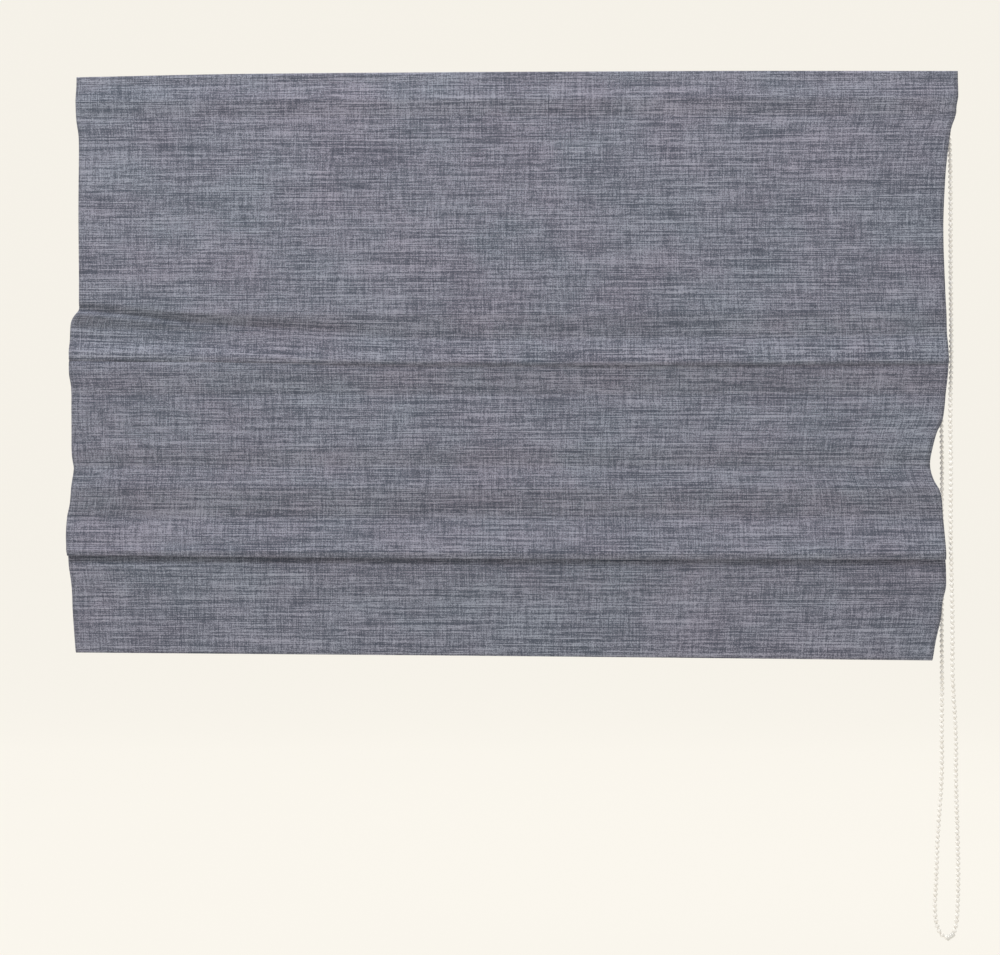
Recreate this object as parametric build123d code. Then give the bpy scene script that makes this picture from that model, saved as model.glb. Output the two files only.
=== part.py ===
"""Roman blind with an endless bead chain: extruded headrail, cord spools on a shaft, folded cloth and a hem bar.

Millimetres. X runs along the rail, Y points at the wall, Z is up. The origin lies on the wall plane, in the
middle of the four wall screws. The cloth hangs on the room side, at negative Y.
"""

import os
from math import cos, hypot, pi, radians, sin, tan

from build123d import *

# ---------------------------------------------------------------- widths and the rail
BLIND_WIDTH = 1000.0  # the cloth's top edge, which covers the rail and the chain drive
CHAIN_INSET = 11.0  # chain's plane inside the cloth's top right corner
CHAIN_X = BLIND_WIDTH / 2 - CHAIN_INSET
CASE_INSIDE = 15.0  # chain's plane to the rail's right end
CASE_OUTSIDE = 8.0  # chain's plane to the case's open side
RAIL_INSET = 10.0
RAIL_LEFT = -BLIND_WIDTH / 2 + RAIL_INSET
RAIL_RIGHT = CHAIN_X - CASE_INSIDE
CASE_RIGHT = CHAIN_X + CASE_OUTSIDE
RAIL_DEPTH = 36.0
RAIL_HEIGHT = 42.0
RAIL_WALL = 1.5
RAIL_LIP = 3.0
RAIL_TOP = 15.0
RAIL_BACK_GAP = 12.0  # wall plane to the rail's back
SLOT_MOUTH = 9.0
SLOT_WIDTH = 16.0
SLOT_DEPTH = 4.5

PLAY = 0.3  # gap between pieces that move past each other
SNUG = 0.2  # gap of a plug in its seat
BEARING = 0.08  # radial gap of a journal in its bearing

RAIL_BACK = -RAIL_BACK_GAP
RAIL_FRONT = RAIL_BACK - RAIL_DEPTH
RAIL_BOTTOM = RAIL_TOP - RAIL_HEIGHT
WEB_TOP = RAIL_TOP - RAIL_WALL - SLOT_DEPTH
WEB_BOTTOM = WEB_TOP - RAIL_WALL
CHANNEL_FLOOR = RAIL_BOTTOM + RAIL_WALL
CHANNEL_FRONT = RAIL_FRONT + RAIL_WALL
CHANNEL_BACK = RAIL_BACK - RAIL_WALL
AXIS_Y = RAIL_BACK - RAIL_DEPTH / 2
AXIS_Z = (WEB_BOTTOM + CHANNEL_FLOOR) / 2 - 0.5

# ---------------------------------------------------------------- brackets
BRACKET_INSET = 180.0  # bracket's middle inside the cloth's edge
BRACKET_X = BLIND_WIDTH / 2 - BRACKET_INSET
BRACKET_XS = {"left": -BRACKET_X, "right": BRACKET_X}
PLATE = 2.0
BRACKET_WIDTH = 32.0
BRACKET_REACH = 46.0
BRACKET_FOOT = -20.0
SCREW_HOLE_R = 2.3
SCREW_PITCH = 24.0
CEILING_HOLE_Y = -9.0
LEVER_THICK = 2.0
LEVER_R = 6.5
LEVER_ARM = 20.0
TOGGLE_LONG = 14.0
TOGGLE_WIDE = 7.6
RIVET_R = 2.0
RIVET_HEAD_R = 4.0
RIVET_HEAD = 1.4
BRACKET_UNDER = RAIL_TOP + PLAY + LEVER_THICK + PLAY
BRACKET_TOP = BRACKET_UNDER + PLATE

# ---------------------------------------------------------------- drive line
HEX_FLATS = 6.0
HEX_PLAY = 0.1
DRUM_R = 6.4
CORD_D = 1.2
WIND_R = DRUM_R + CORD_D / 2  # radius at which the cord winds
SPOOL_FLANGE_R = 11.5
SPOOL_HALF = 12.0
SPOOL_FLANGE = 2.0
JOURNAL_R = 5.0
CRADLE_HALF = 20.0
CRADLE_WALL = 2.5
CRADLE_BASE = 2.0
CORD_HOLE_R = 1.2
CORD_TURNS = 5
CORD_SPACING = 380.0
CLOTH_MIDDLE = -10.0
CORD_XS = {
    "left": CLOTH_MIDDLE - CORD_SPACING,
    "centre": CLOTH_MIDDLE,
    "right": CLOTH_MIDDLE + CORD_SPACING,
}
CORD_Y = AXIS_Y + WIND_R  # the cord leaves the drum on its wall side

BEAD_D = 4.5
BEAD_PITCH = 6.0
POCKETS = 13
PITCH_R = BEAD_PITCH / 2 / sin(pi / POCKETS)
SPROCKET_WIDTH = 12.0
SPROCKET_R = PITCH_R + 1.9
HUB_R = 6.0
SLEEVE_IN = HUB_R + BEARING
SLEEVE_OUT = 8.5
SPRING_WIRE = 1.6
SPRING_TURNS = 10
OUTPUT_IN = SLEEVE_OUT + SPRING_WIRE + 0.5
OUTPUT_OUT = OUTPUT_IN + 2.0
CASE_WALL = 6.0
PLUG_DEEP = 12.0
COVER = 2.5
COVER_SCREW_R = 1.25
COVER_SCREW_HEAD_R = 2.6
COVER_SCREW_LONG = 10.0
COVER_SCREW_GAP = 0.1
COVER_SCREW_SUNK = 0.2  # the head's face below the cover's

# ---------------------------------------------------------------- cloth, rods and hem bar
CLOTH = 0.8  # thickness of one layer
CLOTH_TOP = 22.0
CLOTH_LEFT = -BLIND_WIDTH / 2
CLOTH_RIGHT_TOP = BLIND_WIDTH / 2
CHAIN_CLEARANCE = 18.0  # the cloth is this much narrower below the rail, beside the chain
CLOTH_RIGHT = CLOTH_RIGHT_TOP - CHAIN_CLEARANCE
TAPER_FROM = 36.0  # below the cloth's top edge
TAPER_TO = 100.0
SIDE_HEM = 22.0
TAPE = 1.2
TAPE_HIGH = 25.0
TAPE_DROP = 9.0
FRONT_Y = RAIL_FRONT - 2 * TAPE - CLOTH / 2

RING_R = 5.0
RING_WIRE = 1.0
ROD_R = 2.0
SLEEVE_CLOTH = 0.5
ROD_SLEEVE_R = ROD_R + PLAY + SLEEVE_CLOTH
FLANGE_HIGH = 16.0
ROD_Y = CORD_Y - RING_R - RING_WIRE - SNUG - ROD_SLEEVE_R
ROD_CLOTH_Y = ROD_Y - ROD_SLEEVE_R - PLAY - CLOTH / 2
ROD_LEFT = CLOTH_LEFT + SIDE_HEM + 2.0
ROD_RIGHT = CLOTH_RIGHT - SIDE_HEM - 2.0
ROD_DROPS = {"upper": 316.0, "lower": 538.0}  # below the cloth's top edge, as it hangs
FOLD_UNDER = 17.0  # from a rod down to the bottom of the fold in front of it
CREASE_OVER = 16.0  # from a rod up to where the cloth would turn with no radius
CREASE_R = 1.2
FOLD_RS = {"upper": 4.0, "lower": 2.4}

DROP = 661.9  # cloth's top edge to its hem, as it hangs
HEM_Y = ROD_CLOTH_Y - 2.0
HEM_HIGH = 32.0
BAR_HIGH = 18.0
BAR_THICK = 3.0
BAR_PLAY = 0.6
BAR_INSET = 28.0
BAR_SHORT = 14.0  # the bar stops short of the hem's right end
BAR_LEFT = CLOTH_LEFT + BAR_INSET
BAR_RIGHT = CLOTH_RIGHT - BAR_INSET - BAR_SHORT
HEM_BACK_Y = HEM_Y + CLOTH + BAR_THICK + 2 * BAR_PLAY

ORB_R = 4.5
ORB_HIGH = 11.0
KNOT_R = 1.5

CONNECTOR_R = 3.0
CONNECTOR_LONG = 11.0

# The chain's free loop from the front of its wheel down and round to the back, as offsets from the wheel's
# middle: along the rail, towards the wall and up. The loop hangs with a slow quarter turn.
CHAIN_HANG = [
    (0.0, -PITCH_R, -20.5),
    (0.0, -PITCH_R, -52.5),
    (1.5, -12.8, -112.5),
    (2.5, -11.6, -173.5),
    (1.6, -12.2, -233.5),
    (3.2, -11.0, -294.5),
    (2.6, -11.9, -352.5),
    (5.4, -10.6, -413.5),
    (4.8, -11.0, -473.5),
    (5.8, -10.4, -535.5),
    (7.4, -9.9, -597.5),
    (6.6, -10.9, -655.5),
    (11.6, -8.4, -717.5),
    (9.4, -9.2, -776.5),
    (12.6, -4.2, -838.5),
    (13.3, -1.2, -895.5),
    (13.2, 0.0, -929.5),
    (11.4, 0.0, -947.5),
    (1.6, -0.2, -954.3),
    (-8.0, -0.4, -943.5),
    (-11.4, 0.4, -922.5),
    (-11.8, 1.8, -888.5),
    (-10.4, 5.4, -832.5),
    (-4.6, 9.6, -773.5),
    (-5.8, 10.2, -714.5),
    (-5.4, 11.8, -653.5),
    (-6.6, 10.6, -594.5),
    (-4.8, 12.0, -534.5),
    (-6.4, 11.4, -472.5),
    (-5.6, 11.8, -411.5),
    (-6.0, 12.6, -351.5),
    (-2.8, 11.6, -291.5),
    (-2.6, 12.4, -231.5),
    (-1.0, 12.0, -171.5),
    (-1.4, 12.8, -111.5),
    (0.0, PITCH_R, -52.5),
    (0.0, PITCH_R, -20.5),
]
CHAIN_ROUTE = [(CHAIN_X + dx, AXIS_Y + dy, AXIS_Z + dz) for dx, dy, dz in CHAIN_HANG]
CONNECTOR_RUN = 17  # the connector sits in the middle of the run from this point

os.makedirs("parts", exist_ok=True)


def save(name, shape):
    export_step(shape, f"parts/{name}.step")


def block(x0, x1, y0, y1, z0, z1):
    """A box between two corners."""
    return Pos((x0 + x1) / 2, (y0 + y1) / 2, (z0 + z1) / 2) * Box(x1 - x0, y1 - y0, z1 - z0)


def bar_x(radius, x0, x1, y=AXIS_Y, z=AXIS_Z):
    """A round bar along X."""
    return Pos((x0 + x1) / 2, y, z) * Rot(0, 90, 0) * Cylinder(radius, x1 - x0)


def post_z(radius, x, y, z0, z1):
    """A round post along Z."""
    return Pos(x, y, (z0 + z1) / 2) * Cylinder(radius, z1 - z0)


def hex_x(flats, x0, x1):
    """A hexagonal bar on the drive axis."""
    outline = RegularPolygon(flats / 2, 6, major_radius=False)
    return extrude(Plane.YZ.offset(x0) * Pos(AXIS_Y, AXIS_Z) * outline, x1 - x0)


def section_x(outline, x0, x1):
    """A YZ outline drawn out along X."""
    return extrude(Plane.YZ.offset(x0) * outline, x1 - x0, dir=(1, 0, 0))


def rect(y0, y1, z0, z1):
    """A rectangle in the YZ section."""
    return Pos((y0 + y1) / 2, (z0 + z1) / 2) * Rectangle(y1 - y0, z1 - z0)


# ---------------------------------------------------------------- headrail
def headrail():
    """One extrusion: a slot above for the brackets and a channel below for the drive line."""
    outline = rect(RAIL_FRONT, RAIL_BACK, RAIL_BOTTOM, RAIL_TOP)
    outline -= rect(CHANNEL_FRONT, CHANNEL_BACK, CHANNEL_FLOOR, WEB_BOTTOM)
    outline -= rect(CHANNEL_FRONT + RAIL_LIP, CHANNEL_BACK - RAIL_LIP, RAIL_BOTTOM - 1, CHANNEL_FLOOR)
    slot_ceiling = RAIL_TOP - RAIL_WALL
    outline -= rect(AXIS_Y - SLOT_WIDTH / 2, AXIS_Y + SLOT_WIDTH / 2, WEB_TOP, slot_ceiling)
    outline -= rect(AXIS_Y - SLOT_MOUTH / 2, AXIS_Y + SLOT_MOUTH / 2, slot_ceiling, RAIL_TOP + 1)
    rib = SLOT_WIDTH / 2 + RAIL_WALL
    outline -= rect(CHANNEL_FRONT, AXIS_Y - rib, WEB_TOP, slot_ceiling)
    outline -= rect(AXIS_Y + rib, CHANNEL_BACK, WEB_TOP, slot_ceiling)
    return section_x(outline, RAIL_LEFT, RAIL_RIGHT)


def fastening_tape(front):
    """Hook or loop tape along the rail's face."""
    top = CLOTH_TOP - TAPE_DROP
    x0, x1 = CLOTH_LEFT + SIDE_HEM + 1, CLOTH_RIGHT - SIDE_HEM - 1
    return block(x0, x1, front, front + TAPE, top - TAPE_HIGH, top)


# ---------------------------------------------------------------- brackets
def bracket(x):
    """A bent steel angle: its back is screwed to a wall or its top to a ceiling."""
    half = BRACKET_WIDTH / 2
    angle = block(x - half, x + half, -PLATE, 0, BRACKET_FOOT, BRACKET_TOP)
    angle += block(x - half, x + half, -BRACKET_REACH, -PLATE / 2, BRACKET_UNDER, BRACKET_TOP)
    bend = angle.edges().filter_by(Axis.X)
    angle = fillet(bend.sort_by_distance((x, 0, BRACKET_TOP))[0], PLATE)
    for z in (-SCREW_PITCH / 2, SCREW_PITCH / 2):
        angle -= Pos(x, -PLATE / 2, z) * Rot(90, 0, 0) * Cylinder(SCREW_HOLE_R, 2 * PLATE)
    angle -= post_z(SCREW_HOLE_R, x, CEILING_HOLE_Y, BRACKET_UNDER - 1, BRACKET_TOP + 1)
    return angle - post_z(RIVET_R + BEARING, x, AXIS_Y, BRACKET_UNDER - 1, BRACKET_TOP + 1)


def toggle(x):
    """The bracket's turning lever. Its head lies across the rail's slot and holds the rail up."""
    low, high = RAIL_TOP + PLAY, RAIL_TOP + PLAY + LEVER_THICK
    arm = Pos(x + LEVER_ARM / 2, AXIS_Y, (low + high) / 2) * Box(LEVER_ARM, TOGGLE_WIDE, LEVER_THICK)
    tip = post_z(TOGGLE_WIDE / 2, x + LEVER_ARM, AXIS_Y, low, high)
    head_top = RAIL_TOP - RAIL_WALL - PLAY
    head_low = WEB_TOP + 2 * PLAY + 1.0
    head_outline = Rot(0, 0, 90) * SlotOverall(TOGGLE_LONG, TOGGLE_WIDE)
    head = Pos(x, AXIS_Y, head_low) * extrude(head_outline, head_top - head_low)
    neck = post_z(TOGGLE_WIDE / 2, x, AXIS_Y, head_low, low)
    body = arm + tip + post_z(LEVER_R, x, AXIS_Y, low, high) + head + neck
    return body - post_z(RIVET_R + BEARING, x, AXIS_Y, head_low - 1, high + 1)


def rivet(x):
    """The pin that the lever turns on, headed at both ends."""
    foot = WEB_TOP + PLAY
    shank = post_z(RIVET_R, x, AXIS_Y, foot, BRACKET_TOP)
    head = post_z(RIVET_HEAD_R, x, AXIS_Y, BRACKET_TOP, BRACKET_TOP + RIVET_HEAD)
    return shank + head + post_z(RIVET_R + 1.2, x, AXIS_Y, foot, foot + 1.0)


# ---------------------------------------------------------------- drive line
def spool(x):
    """A drum with flanges and two journals, driven by the hexagonal shaft."""
    body = bar_x(DRUM_R, x - SPOOL_HALF, x + SPOOL_HALF)
    for side in (-1, 1):
        inner, outer = x + side * SPOOL_HALF, x + side * (SPOOL_HALF + SPOOL_FLANGE)
        body += bar_x(SPOOL_FLANGE_R, min(inner, outer), max(inner, outer))
    reach = CRADLE_HALF + 0.5
    body += bar_x(JOURNAL_R, x - reach, x + reach)
    return body - hex_x(HEX_FLATS + 2 * HEX_PLAY, x - reach - 1, x + reach + 1)


def cradle(x):
    """The carrier that snaps into the rail, with a bearing at each end and an eyelet for the cord."""
    front, back = CHANNEL_FRONT + SNUG, CHANNEL_BACK - SNUG
    floor = CHANNEL_FLOOR + SNUG / 2
    body = block(x - CRADLE_HALF, x + CRADLE_HALF, front, back, floor, floor + CRADLE_BASE)
    for side in (-1, 1):
        inner, outer = x + side * (CRADLE_HALF - CRADLE_WALL), x + side * CRADLE_HALF
        wall = block(min(inner, outer), max(inner, outer), front, back, floor, AXIS_Z + 9.0)
        body += wall - bar_x(JOURNAL_R + BEARING, x - CRADLE_HALF - 1, x + CRADLE_HALF + 1)
    return body - post_z(CORD_HOLE_R, x, CORD_Y, floor - 1, floor + CRADLE_BASE + 1)


def coil_section(radius, wire, turns):
    """The outline of close turns of round wire, in a plane through the drive axis."""
    outline = Rectangle((turns - 1) * wire, wire / 2)
    for i in range(turns):
        outline += Pos((i - (turns - 1) / 2) * wire, 0) * Circle(wire / 2 * 1.02)
    return Pos(0, radius) * outline


def coil(x, radius, wire, turns):
    """Close turns round the drive axis as one ring."""
    plane = Plane((x, AXIS_Y, AXIS_Z), x_dir=(1, 0, 0), z_dir=(0, -1, 0))
    return revolve(plane * coil_section(radius, wire, turns), Axis((x, AXIS_Y, AXIS_Z), (1, 0, 0)))


def lift_cord(x, orb_top):
    """The cord from its drum down through both rings to the knot in its orb."""
    start = AXIS_Z - 5.2
    end = orb_top - ORB_HIGH + 3.0
    return post_z(CORD_D / 2, x, CORD_Y, end, start) + Pos(x, CORD_Y, end) * Sphere(KNOT_R)


def shaft():
    return hex_x(HEX_FLATS, RAIL_LEFT + 2, CHAIN_X + SPROCKET_WIDTH / 2 - 2)


def end_cap():
    """The idle end's cap, plugged into the channel, with the bearing for the bush."""
    body = block(RAIL_LEFT - 4, RAIL_LEFT, RAIL_FRONT, RAIL_BACK, RAIL_BOTTOM, RAIL_TOP)
    body += block(
        RAIL_LEFT,
        RAIL_LEFT + PLUG_DEEP,
        CHANNEL_FRONT + SNUG,
        CHANNEL_BACK - SNUG,
        CHANNEL_FLOOR + SNUG,
        WEB_BOTTOM - SNUG,
    )
    body = fillet(body.faces().sort_by(Axis.X)[0].edges(), 1.2)
    return body - bar_x(JOURNAL_R + BEARING, RAIL_LEFT - 2.5, RAIL_LEFT + PLUG_DEEP + 1)


def end_bush():
    body = bar_x(JOURNAL_R, RAIL_LEFT - 2, RAIL_LEFT + PLUG_DEEP + 2)
    return body - hex_x(HEX_FLATS + 2 * HEX_PLAY, RAIL_LEFT, RAIL_LEFT + PLUG_DEEP + 3)


def drive_housing():
    """The chain drive's case: a plug in the rail, the clutch's fixed sleeve and the chain chamber."""
    body = block(RAIL_RIGHT, CASE_RIGHT, RAIL_FRONT, RAIL_BACK, RAIL_BOTTOM, RAIL_TOP)
    chamber = SPROCKET_R + 1.5
    body -= bar_x(chamber, RAIL_RIGHT + CASE_WALL, CASE_RIGHT + 1)
    body -= block(
        RAIL_RIGHT + CASE_WALL,
        CASE_RIGHT + 1,
        AXIS_Y - chamber,
        AXIS_Y + chamber,
        RAIL_BOTTOM - 1,
        AXIS_Z,
    )
    plug = block(
        RAIL_RIGHT - PLUG_DEEP,
        RAIL_RIGHT,
        CHANNEL_FRONT + SNUG,
        CHANNEL_BACK - SNUG,
        CHANNEL_FLOOR + SNUG,
        WEB_BOTTOM - SNUG,
    )
    body += plug - bar_x(OUTPUT_OUT + 2 * PLAY, RAIL_RIGHT - PLUG_DEEP - 1, RAIL_RIGHT)
    body += bar_x(SLEEVE_OUT, RAIL_RIGHT - 18, RAIL_RIGHT + 1)
    body -= bar_x(SLEEVE_IN, RAIL_RIGHT - 19, RAIL_RIGHT + CASE_WALL + 1)
    for y in cover_screw_ys():
        hole_r = COVER_SCREW_R + COVER_SCREW_GAP
        body -= bar_x(hole_r, CASE_RIGHT - COVER_SCREW_LONG, CASE_RIGHT + 1, y, cover_screw_z())
    return body


def cover_screw_ys():
    return (AXIS_Y - 12.0, AXIS_Y + 12.0)


def cover_screw_z():
    return RAIL_TOP - 4.5


def cover_screw(y, grow=0.0):
    """One countersunk screw without its slot, its radii larger by grow."""
    z, face = cover_screw_z(), CASE_RIGHT + COVER - COVER_SCREW_SUNK
    sink = COVER_SCREW_HEAD_R - COVER_SCREW_R
    cone = Cone(COVER_SCREW_R + grow, COVER_SCREW_HEAD_R + grow, sink)
    head = Pos(face - sink / 2, y, z) * Rot(0, 90, 0) * cone
    return head + bar_x(COVER_SCREW_R + grow, face - COVER_SCREW_LONG, face - sink / 2, y, z)


def drive_cover():
    """The outer cover of the chain chamber, with two countersunk holes."""
    body = block(CASE_RIGHT, CASE_RIGHT + COVER, RAIL_FRONT, RAIL_BACK, RAIL_BOTTOM, RAIL_TOP)
    body = fillet(body.faces().sort_by(Axis.X)[-1].edges(), 1.2)
    face = CASE_RIGHT + COVER - COVER_SCREW_SUNK
    for y in cover_screw_ys():
        body -= cover_screw(y, COVER_SCREW_GAP)
        body -= bar_x(COVER_SCREW_HEAD_R + COVER_SCREW_GAP, face, face + 1, y, cover_screw_z())
    return body


def cover_screws():
    """The cover's two countersunk screws with their driver slots."""
    z, face = cover_screw_z(), CASE_RIGHT + COVER - COVER_SCREW_SUNK
    slots = [block(face - 0.6, face + 1, y - 2.2, y + 2.2, z - 0.3, z + 0.3) for y in cover_screw_ys()]
    return Compound([cover_screw(y) - slot for y, slot in zip(cover_screw_ys(), slots)])


def sprocket():
    """The chain wheel: a round groove with a pocket for each bead, and a long hub in the clutch's sleeve."""
    half = SPROCKET_WIDTH / 2
    body = bar_x(SPROCKET_R, CHAIN_X - half, CHAIN_X + half)
    groove = BEAD_D / 2 + PLAY
    rim = bar_x(SPROCKET_R + 1, CHAIN_X - groove, CHAIN_X + groove)
    body -= rim - bar_x(PITCH_R, CHAIN_X - groove - 1, CHAIN_X + groove + 1)
    body -= Pos(CHAIN_X, AXIS_Y, AXIS_Z) * Rot(0, 90, 0) * Torus(PITCH_R, groove)
    for i in range(POCKETS):
        a = 2 * pi * i / POCKETS
        y, z = AXIS_Y + PITCH_R * cos(a), AXIS_Z + PITCH_R * sin(a)
        body -= Pos(CHAIN_X, y, z) * Sphere(BEAD_D / 2 + 2 * PLAY)
    body += bar_x(HUB_R, RAIL_RIGHT - 16, CHAIN_X - half + 1)
    return body - hex_x(HEX_FLATS + 2 * HEX_PLAY, RAIL_RIGHT - 17, CHAIN_X + half + 1)


def output_drum():
    """The cup round the clutch springs that passes the turn on to the shaft."""
    left = RAIL_RIGHT - 22
    body = bar_x(OUTPUT_OUT, left, RAIL_RIGHT - 0.5)
    body -= bar_x(OUTPUT_IN, left + 3, RAIL_RIGHT)
    return body - hex_x(HEX_FLATS + 2 * HEX_PLAY, left - 1, left + 4)


def route_radii(points):
    """For each corner of a route, the largest arc that its two runs allow."""
    radii = []
    for a, b, c in zip(points, points[1:], points[2:]):
        before, after = Vector(b) - Vector(a), Vector(c) - Vector(b)
        turn = radians(before.get_angle(after))
        radii.append(0.45 * min(before.length, after.length) / tan(turn / 2))
    return radii


def chain_path():
    """The whole endless chain: over the wheel, and the free loop from its front side down and back up."""
    radii = route_radii(CHAIN_ROUTE)
    print("chain arc radii", [round(r) for r in radii])
    first, last = Vector(CHAIN_ROUTE[0]), Vector(CHAIN_ROUTE[-1])
    front, back = Vector(first.X, first.Y, AXIS_Z), Vector(last.X, last.Y, AXIS_Z)
    over = ThreePointArc(back, (CHAIN_X, AXIS_Y, AXIS_Z + PITCH_R), front)
    wheel = Line(last, back) + over + Line(front, first)
    return FilletPolyline(*CHAIN_ROUTE, radius=radii), wheel


def bead_chain():
    """The chain as a plain round tube of the beads' diameter."""
    loop, wheel = chain_path()
    down = Plane(CHAIN_ROUTE[0], z_dir=(0, 0, -1)) * Circle(BEAD_D / 2)
    up = Plane(CHAIN_ROUTE[-1], z_dir=(0, 0, 1)) * Circle(BEAD_D / 2)
    tube = sweep(down, path=loop) + sweep(up, path=wheel)
    length = loop.length + wheel.length
    share = tube.volume / (length * pi * BEAD_D**2 / 4)
    print("chain length", round(length, 1), "volume share", round(share, 4))
    return tube


def chain_connector():
    """The barrel that joins the chain's two ends, at the bottom of the loop."""
    a, b = Vector(CHAIN_ROUTE[CONNECTOR_RUN]), Vector(CHAIN_ROUTE[CONNECTOR_RUN + 1])
    barrel = Plane((a + b) / 2, z_dir=b - a) * Cylinder(CONNECTOR_R, CONNECTOR_LONG)
    return fillet(barrel.edges(), 0.9)


# ---------------------------------------------------------------- cloth
def cloth_route():
    """The cloth's middle line in the YZ section from its top edge to its hem, and each corner's radius."""
    upper, lower = ROD_DROPS["upper"], ROD_DROPS["lower"]
    crease = ROD_CLOTH_Y
    steps = [
        (FRONT_Y, 0.0, None),
        (FRONT_Y, 52.0, 60.0),
        (FRONT_Y + 1.8, 86.0, 80.0),
        (FRONT_Y - 3.8, 190.0, 300.0),
        (FRONT_Y - 5.2, upper - 66.0, 70.0),
        (FRONT_Y - 2.2, upper - 29.0, 30.0),
        (FRONT_Y - 9.6, upper + FOLD_UNDER - 10.0, FOLD_RS["upper"]),
        (FRONT_Y - 5.0, upper + FOLD_UNDER, FOLD_RS["upper"]),
        (crease, upper - CREASE_OVER, CREASE_R),
        (crease, upper + 20.0, 40.0),
        (crease - 3.5, upper + 60.0, 120.0),
        (crease - 3.9, upper + 98.0, 120.0),
        (crease - 3.0, lower - 86.0, 70.0),
        (crease - 11.5, lower + FOLD_UNDER - 9.0, FOLD_RS["lower"]),
        (crease - 8.0, lower + FOLD_UNDER, FOLD_RS["lower"]),
        (crease, lower - CREASE_OVER, CREASE_R),
        (crease, lower + 14.0, 30.0),
        (HEM_Y, lower + 34.0, 60.0),
        (HEM_Y, DROP - 10.0, None),
    ]
    return [(y, CLOTH_TOP - drop) for y, drop, _ in steps], [r for _, _, r in steps[1:-1]]


def beside(points, radii, distance):
    """A filleted line beside another one, distance to its left, with its arcs about the same centres."""
    ways = []
    for (y0, z0), (y1, z1) in zip(points, points[1:]):
        long = hypot(y1 - y0, z1 - z0)
        ways.append(((y1 - y0) / long, (z1 - z0) / long))
    moved, changed = [], []
    for i, (y, z) in enumerate(points):
        before, after = ways[max(i - 1, 0)], ways[min(i, len(ways) - 1)]
        ny, nz = -before[1] - after[1], before[0] + after[0]
        square = 1 + before[0] * after[0] + before[1] * after[1]
        moved.append((y + distance * ny / square, z + distance * nz / square))
        if 0 < i < len(points) - 1:
            left_turn = before[0] * after[1] - before[1] * after[0] > 0
            changed.append(radii[i - 1] - distance if left_turn else radii[i - 1] + distance)
    return moved, changed


def band(points, radii, right, left):
    """The face between two lines beside a route. Left is the cloth's wall side."""
    one, one_radii = beside(points, radii, left)
    two, two_radii = beside(points, radii, -right)
    edges = FilletPolyline(*one, radius=one_radii).edges()
    edges += FilletPolyline(*two, radius=two_radii).edges()
    edges += [Edge.make_line(one[0], two[0]), Edge.make_line(one[-1], two[-1])]
    return Face(Wire(edges))


def hem_route():
    """The turned-up bottom hem, sewn back to the cloth above the bar."""
    foot = CLOTH_TOP - DROP
    return [
        (HEM_Y, foot + 14.0),
        (HEM_Y, foot),
        (HEM_BACK_Y, foot),
        (HEM_BACK_Y, foot + HEM_HIGH - 5.0),
        (HEM_Y + CLOTH / 3, foot + HEM_HIGH),
    ], [2.2, 2.2, 3.0]


def fabric():
    """The cloth as one solid: single in the middle, doubled in the side hems, with a pocket along the bottom."""
    points, radii = cloth_route()
    flat = FilletPolyline(*points, radius=radii)
    print("cloth length above its hem", round(flat.length, 1))
    hem_points, hem_radii = hem_route()
    pocket = Sketch() + band(hem_points, hem_radii, CLOTH / 2, CLOTH / 2)
    single = Sketch() + band(points, radii, CLOTH / 2, CLOTH / 2) + pocket
    double = Sketch() + band(points, radii, CLOTH / 2, 1.5 * CLOTH) + pocket
    body = section_x(double, CLOTH_LEFT, CLOTH_LEFT + SIDE_HEM)
    body += section_x(single, CLOTH_LEFT + SIDE_HEM, CLOTH_RIGHT - SIDE_HEM)
    body += section_x(double, CLOTH_RIGHT - SIDE_HEM, CLOTH_RIGHT_TOP)
    cut_top, cut_low = CLOTH_TOP - TAPER_FROM, CLOTH_TOP - TAPER_TO
    trim = Polyline(
        (CLOTH_RIGHT_TOP, cut_top),
        (CLOTH_RIGHT, cut_low),
        (CLOTH_RIGHT, CLOTH_TOP - DROP - 20),
        (CLOTH_RIGHT_TOP + 20, CLOTH_TOP - DROP - 20),
        (CLOTH_RIGHT_TOP + 20, cut_top),
        close=True,
    )
    prism = extrude(Plane((0, -100, 0), x_dir=(1, 0, 0), z_dir=(0, -1, 0)) * make_face(trim), -100)
    return body - prism


def rod(z):
    return bar_x(ROD_R, ROD_LEFT, ROD_RIGHT, ROD_Y, z)


def rod_caps(z):
    """The two soft caps on a rod's ends."""
    caps = []
    for x0, x1 in ((ROD_LEFT - 1, ROD_LEFT + 4), (ROD_RIGHT - 4, ROD_RIGHT + 1)):
        cap = fillet(bar_x(ROD_R + 0.8, x0, x1, ROD_Y, z).edges(), 0.5)
        caps.append(cap - bar_x(ROD_R + 0.05, ROD_LEFT - 0.05, ROD_RIGHT + 0.05, ROD_Y, z))
    return Compound(caps)


def rod_sleeve(z):
    """The sewn tunnel that holds a rod, with the strip that is stitched to the cloth."""
    outline = Pos(ROD_Y, z) * Circle(ROD_SLEEVE_R)
    front = ROD_Y - ROD_SLEEVE_R
    outline += rect(front, front + 1.5 * SLEEVE_CLOTH, z - FLANGE_HIGH / 2, z + FLANGE_HIGH / 4)
    outline -= Pos(ROD_Y, z) * Circle(ROD_R + PLAY)
    return section_x(outline, ROD_LEFT + 5, ROD_RIGHT - 5)


def rings(z):
    """The three cord rings sewn to a rod's tunnel."""
    return Compound([Pos(x, CORD_Y, z) * Torus(RING_R, RING_WIRE) for x in CORD_XS.values()])


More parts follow.
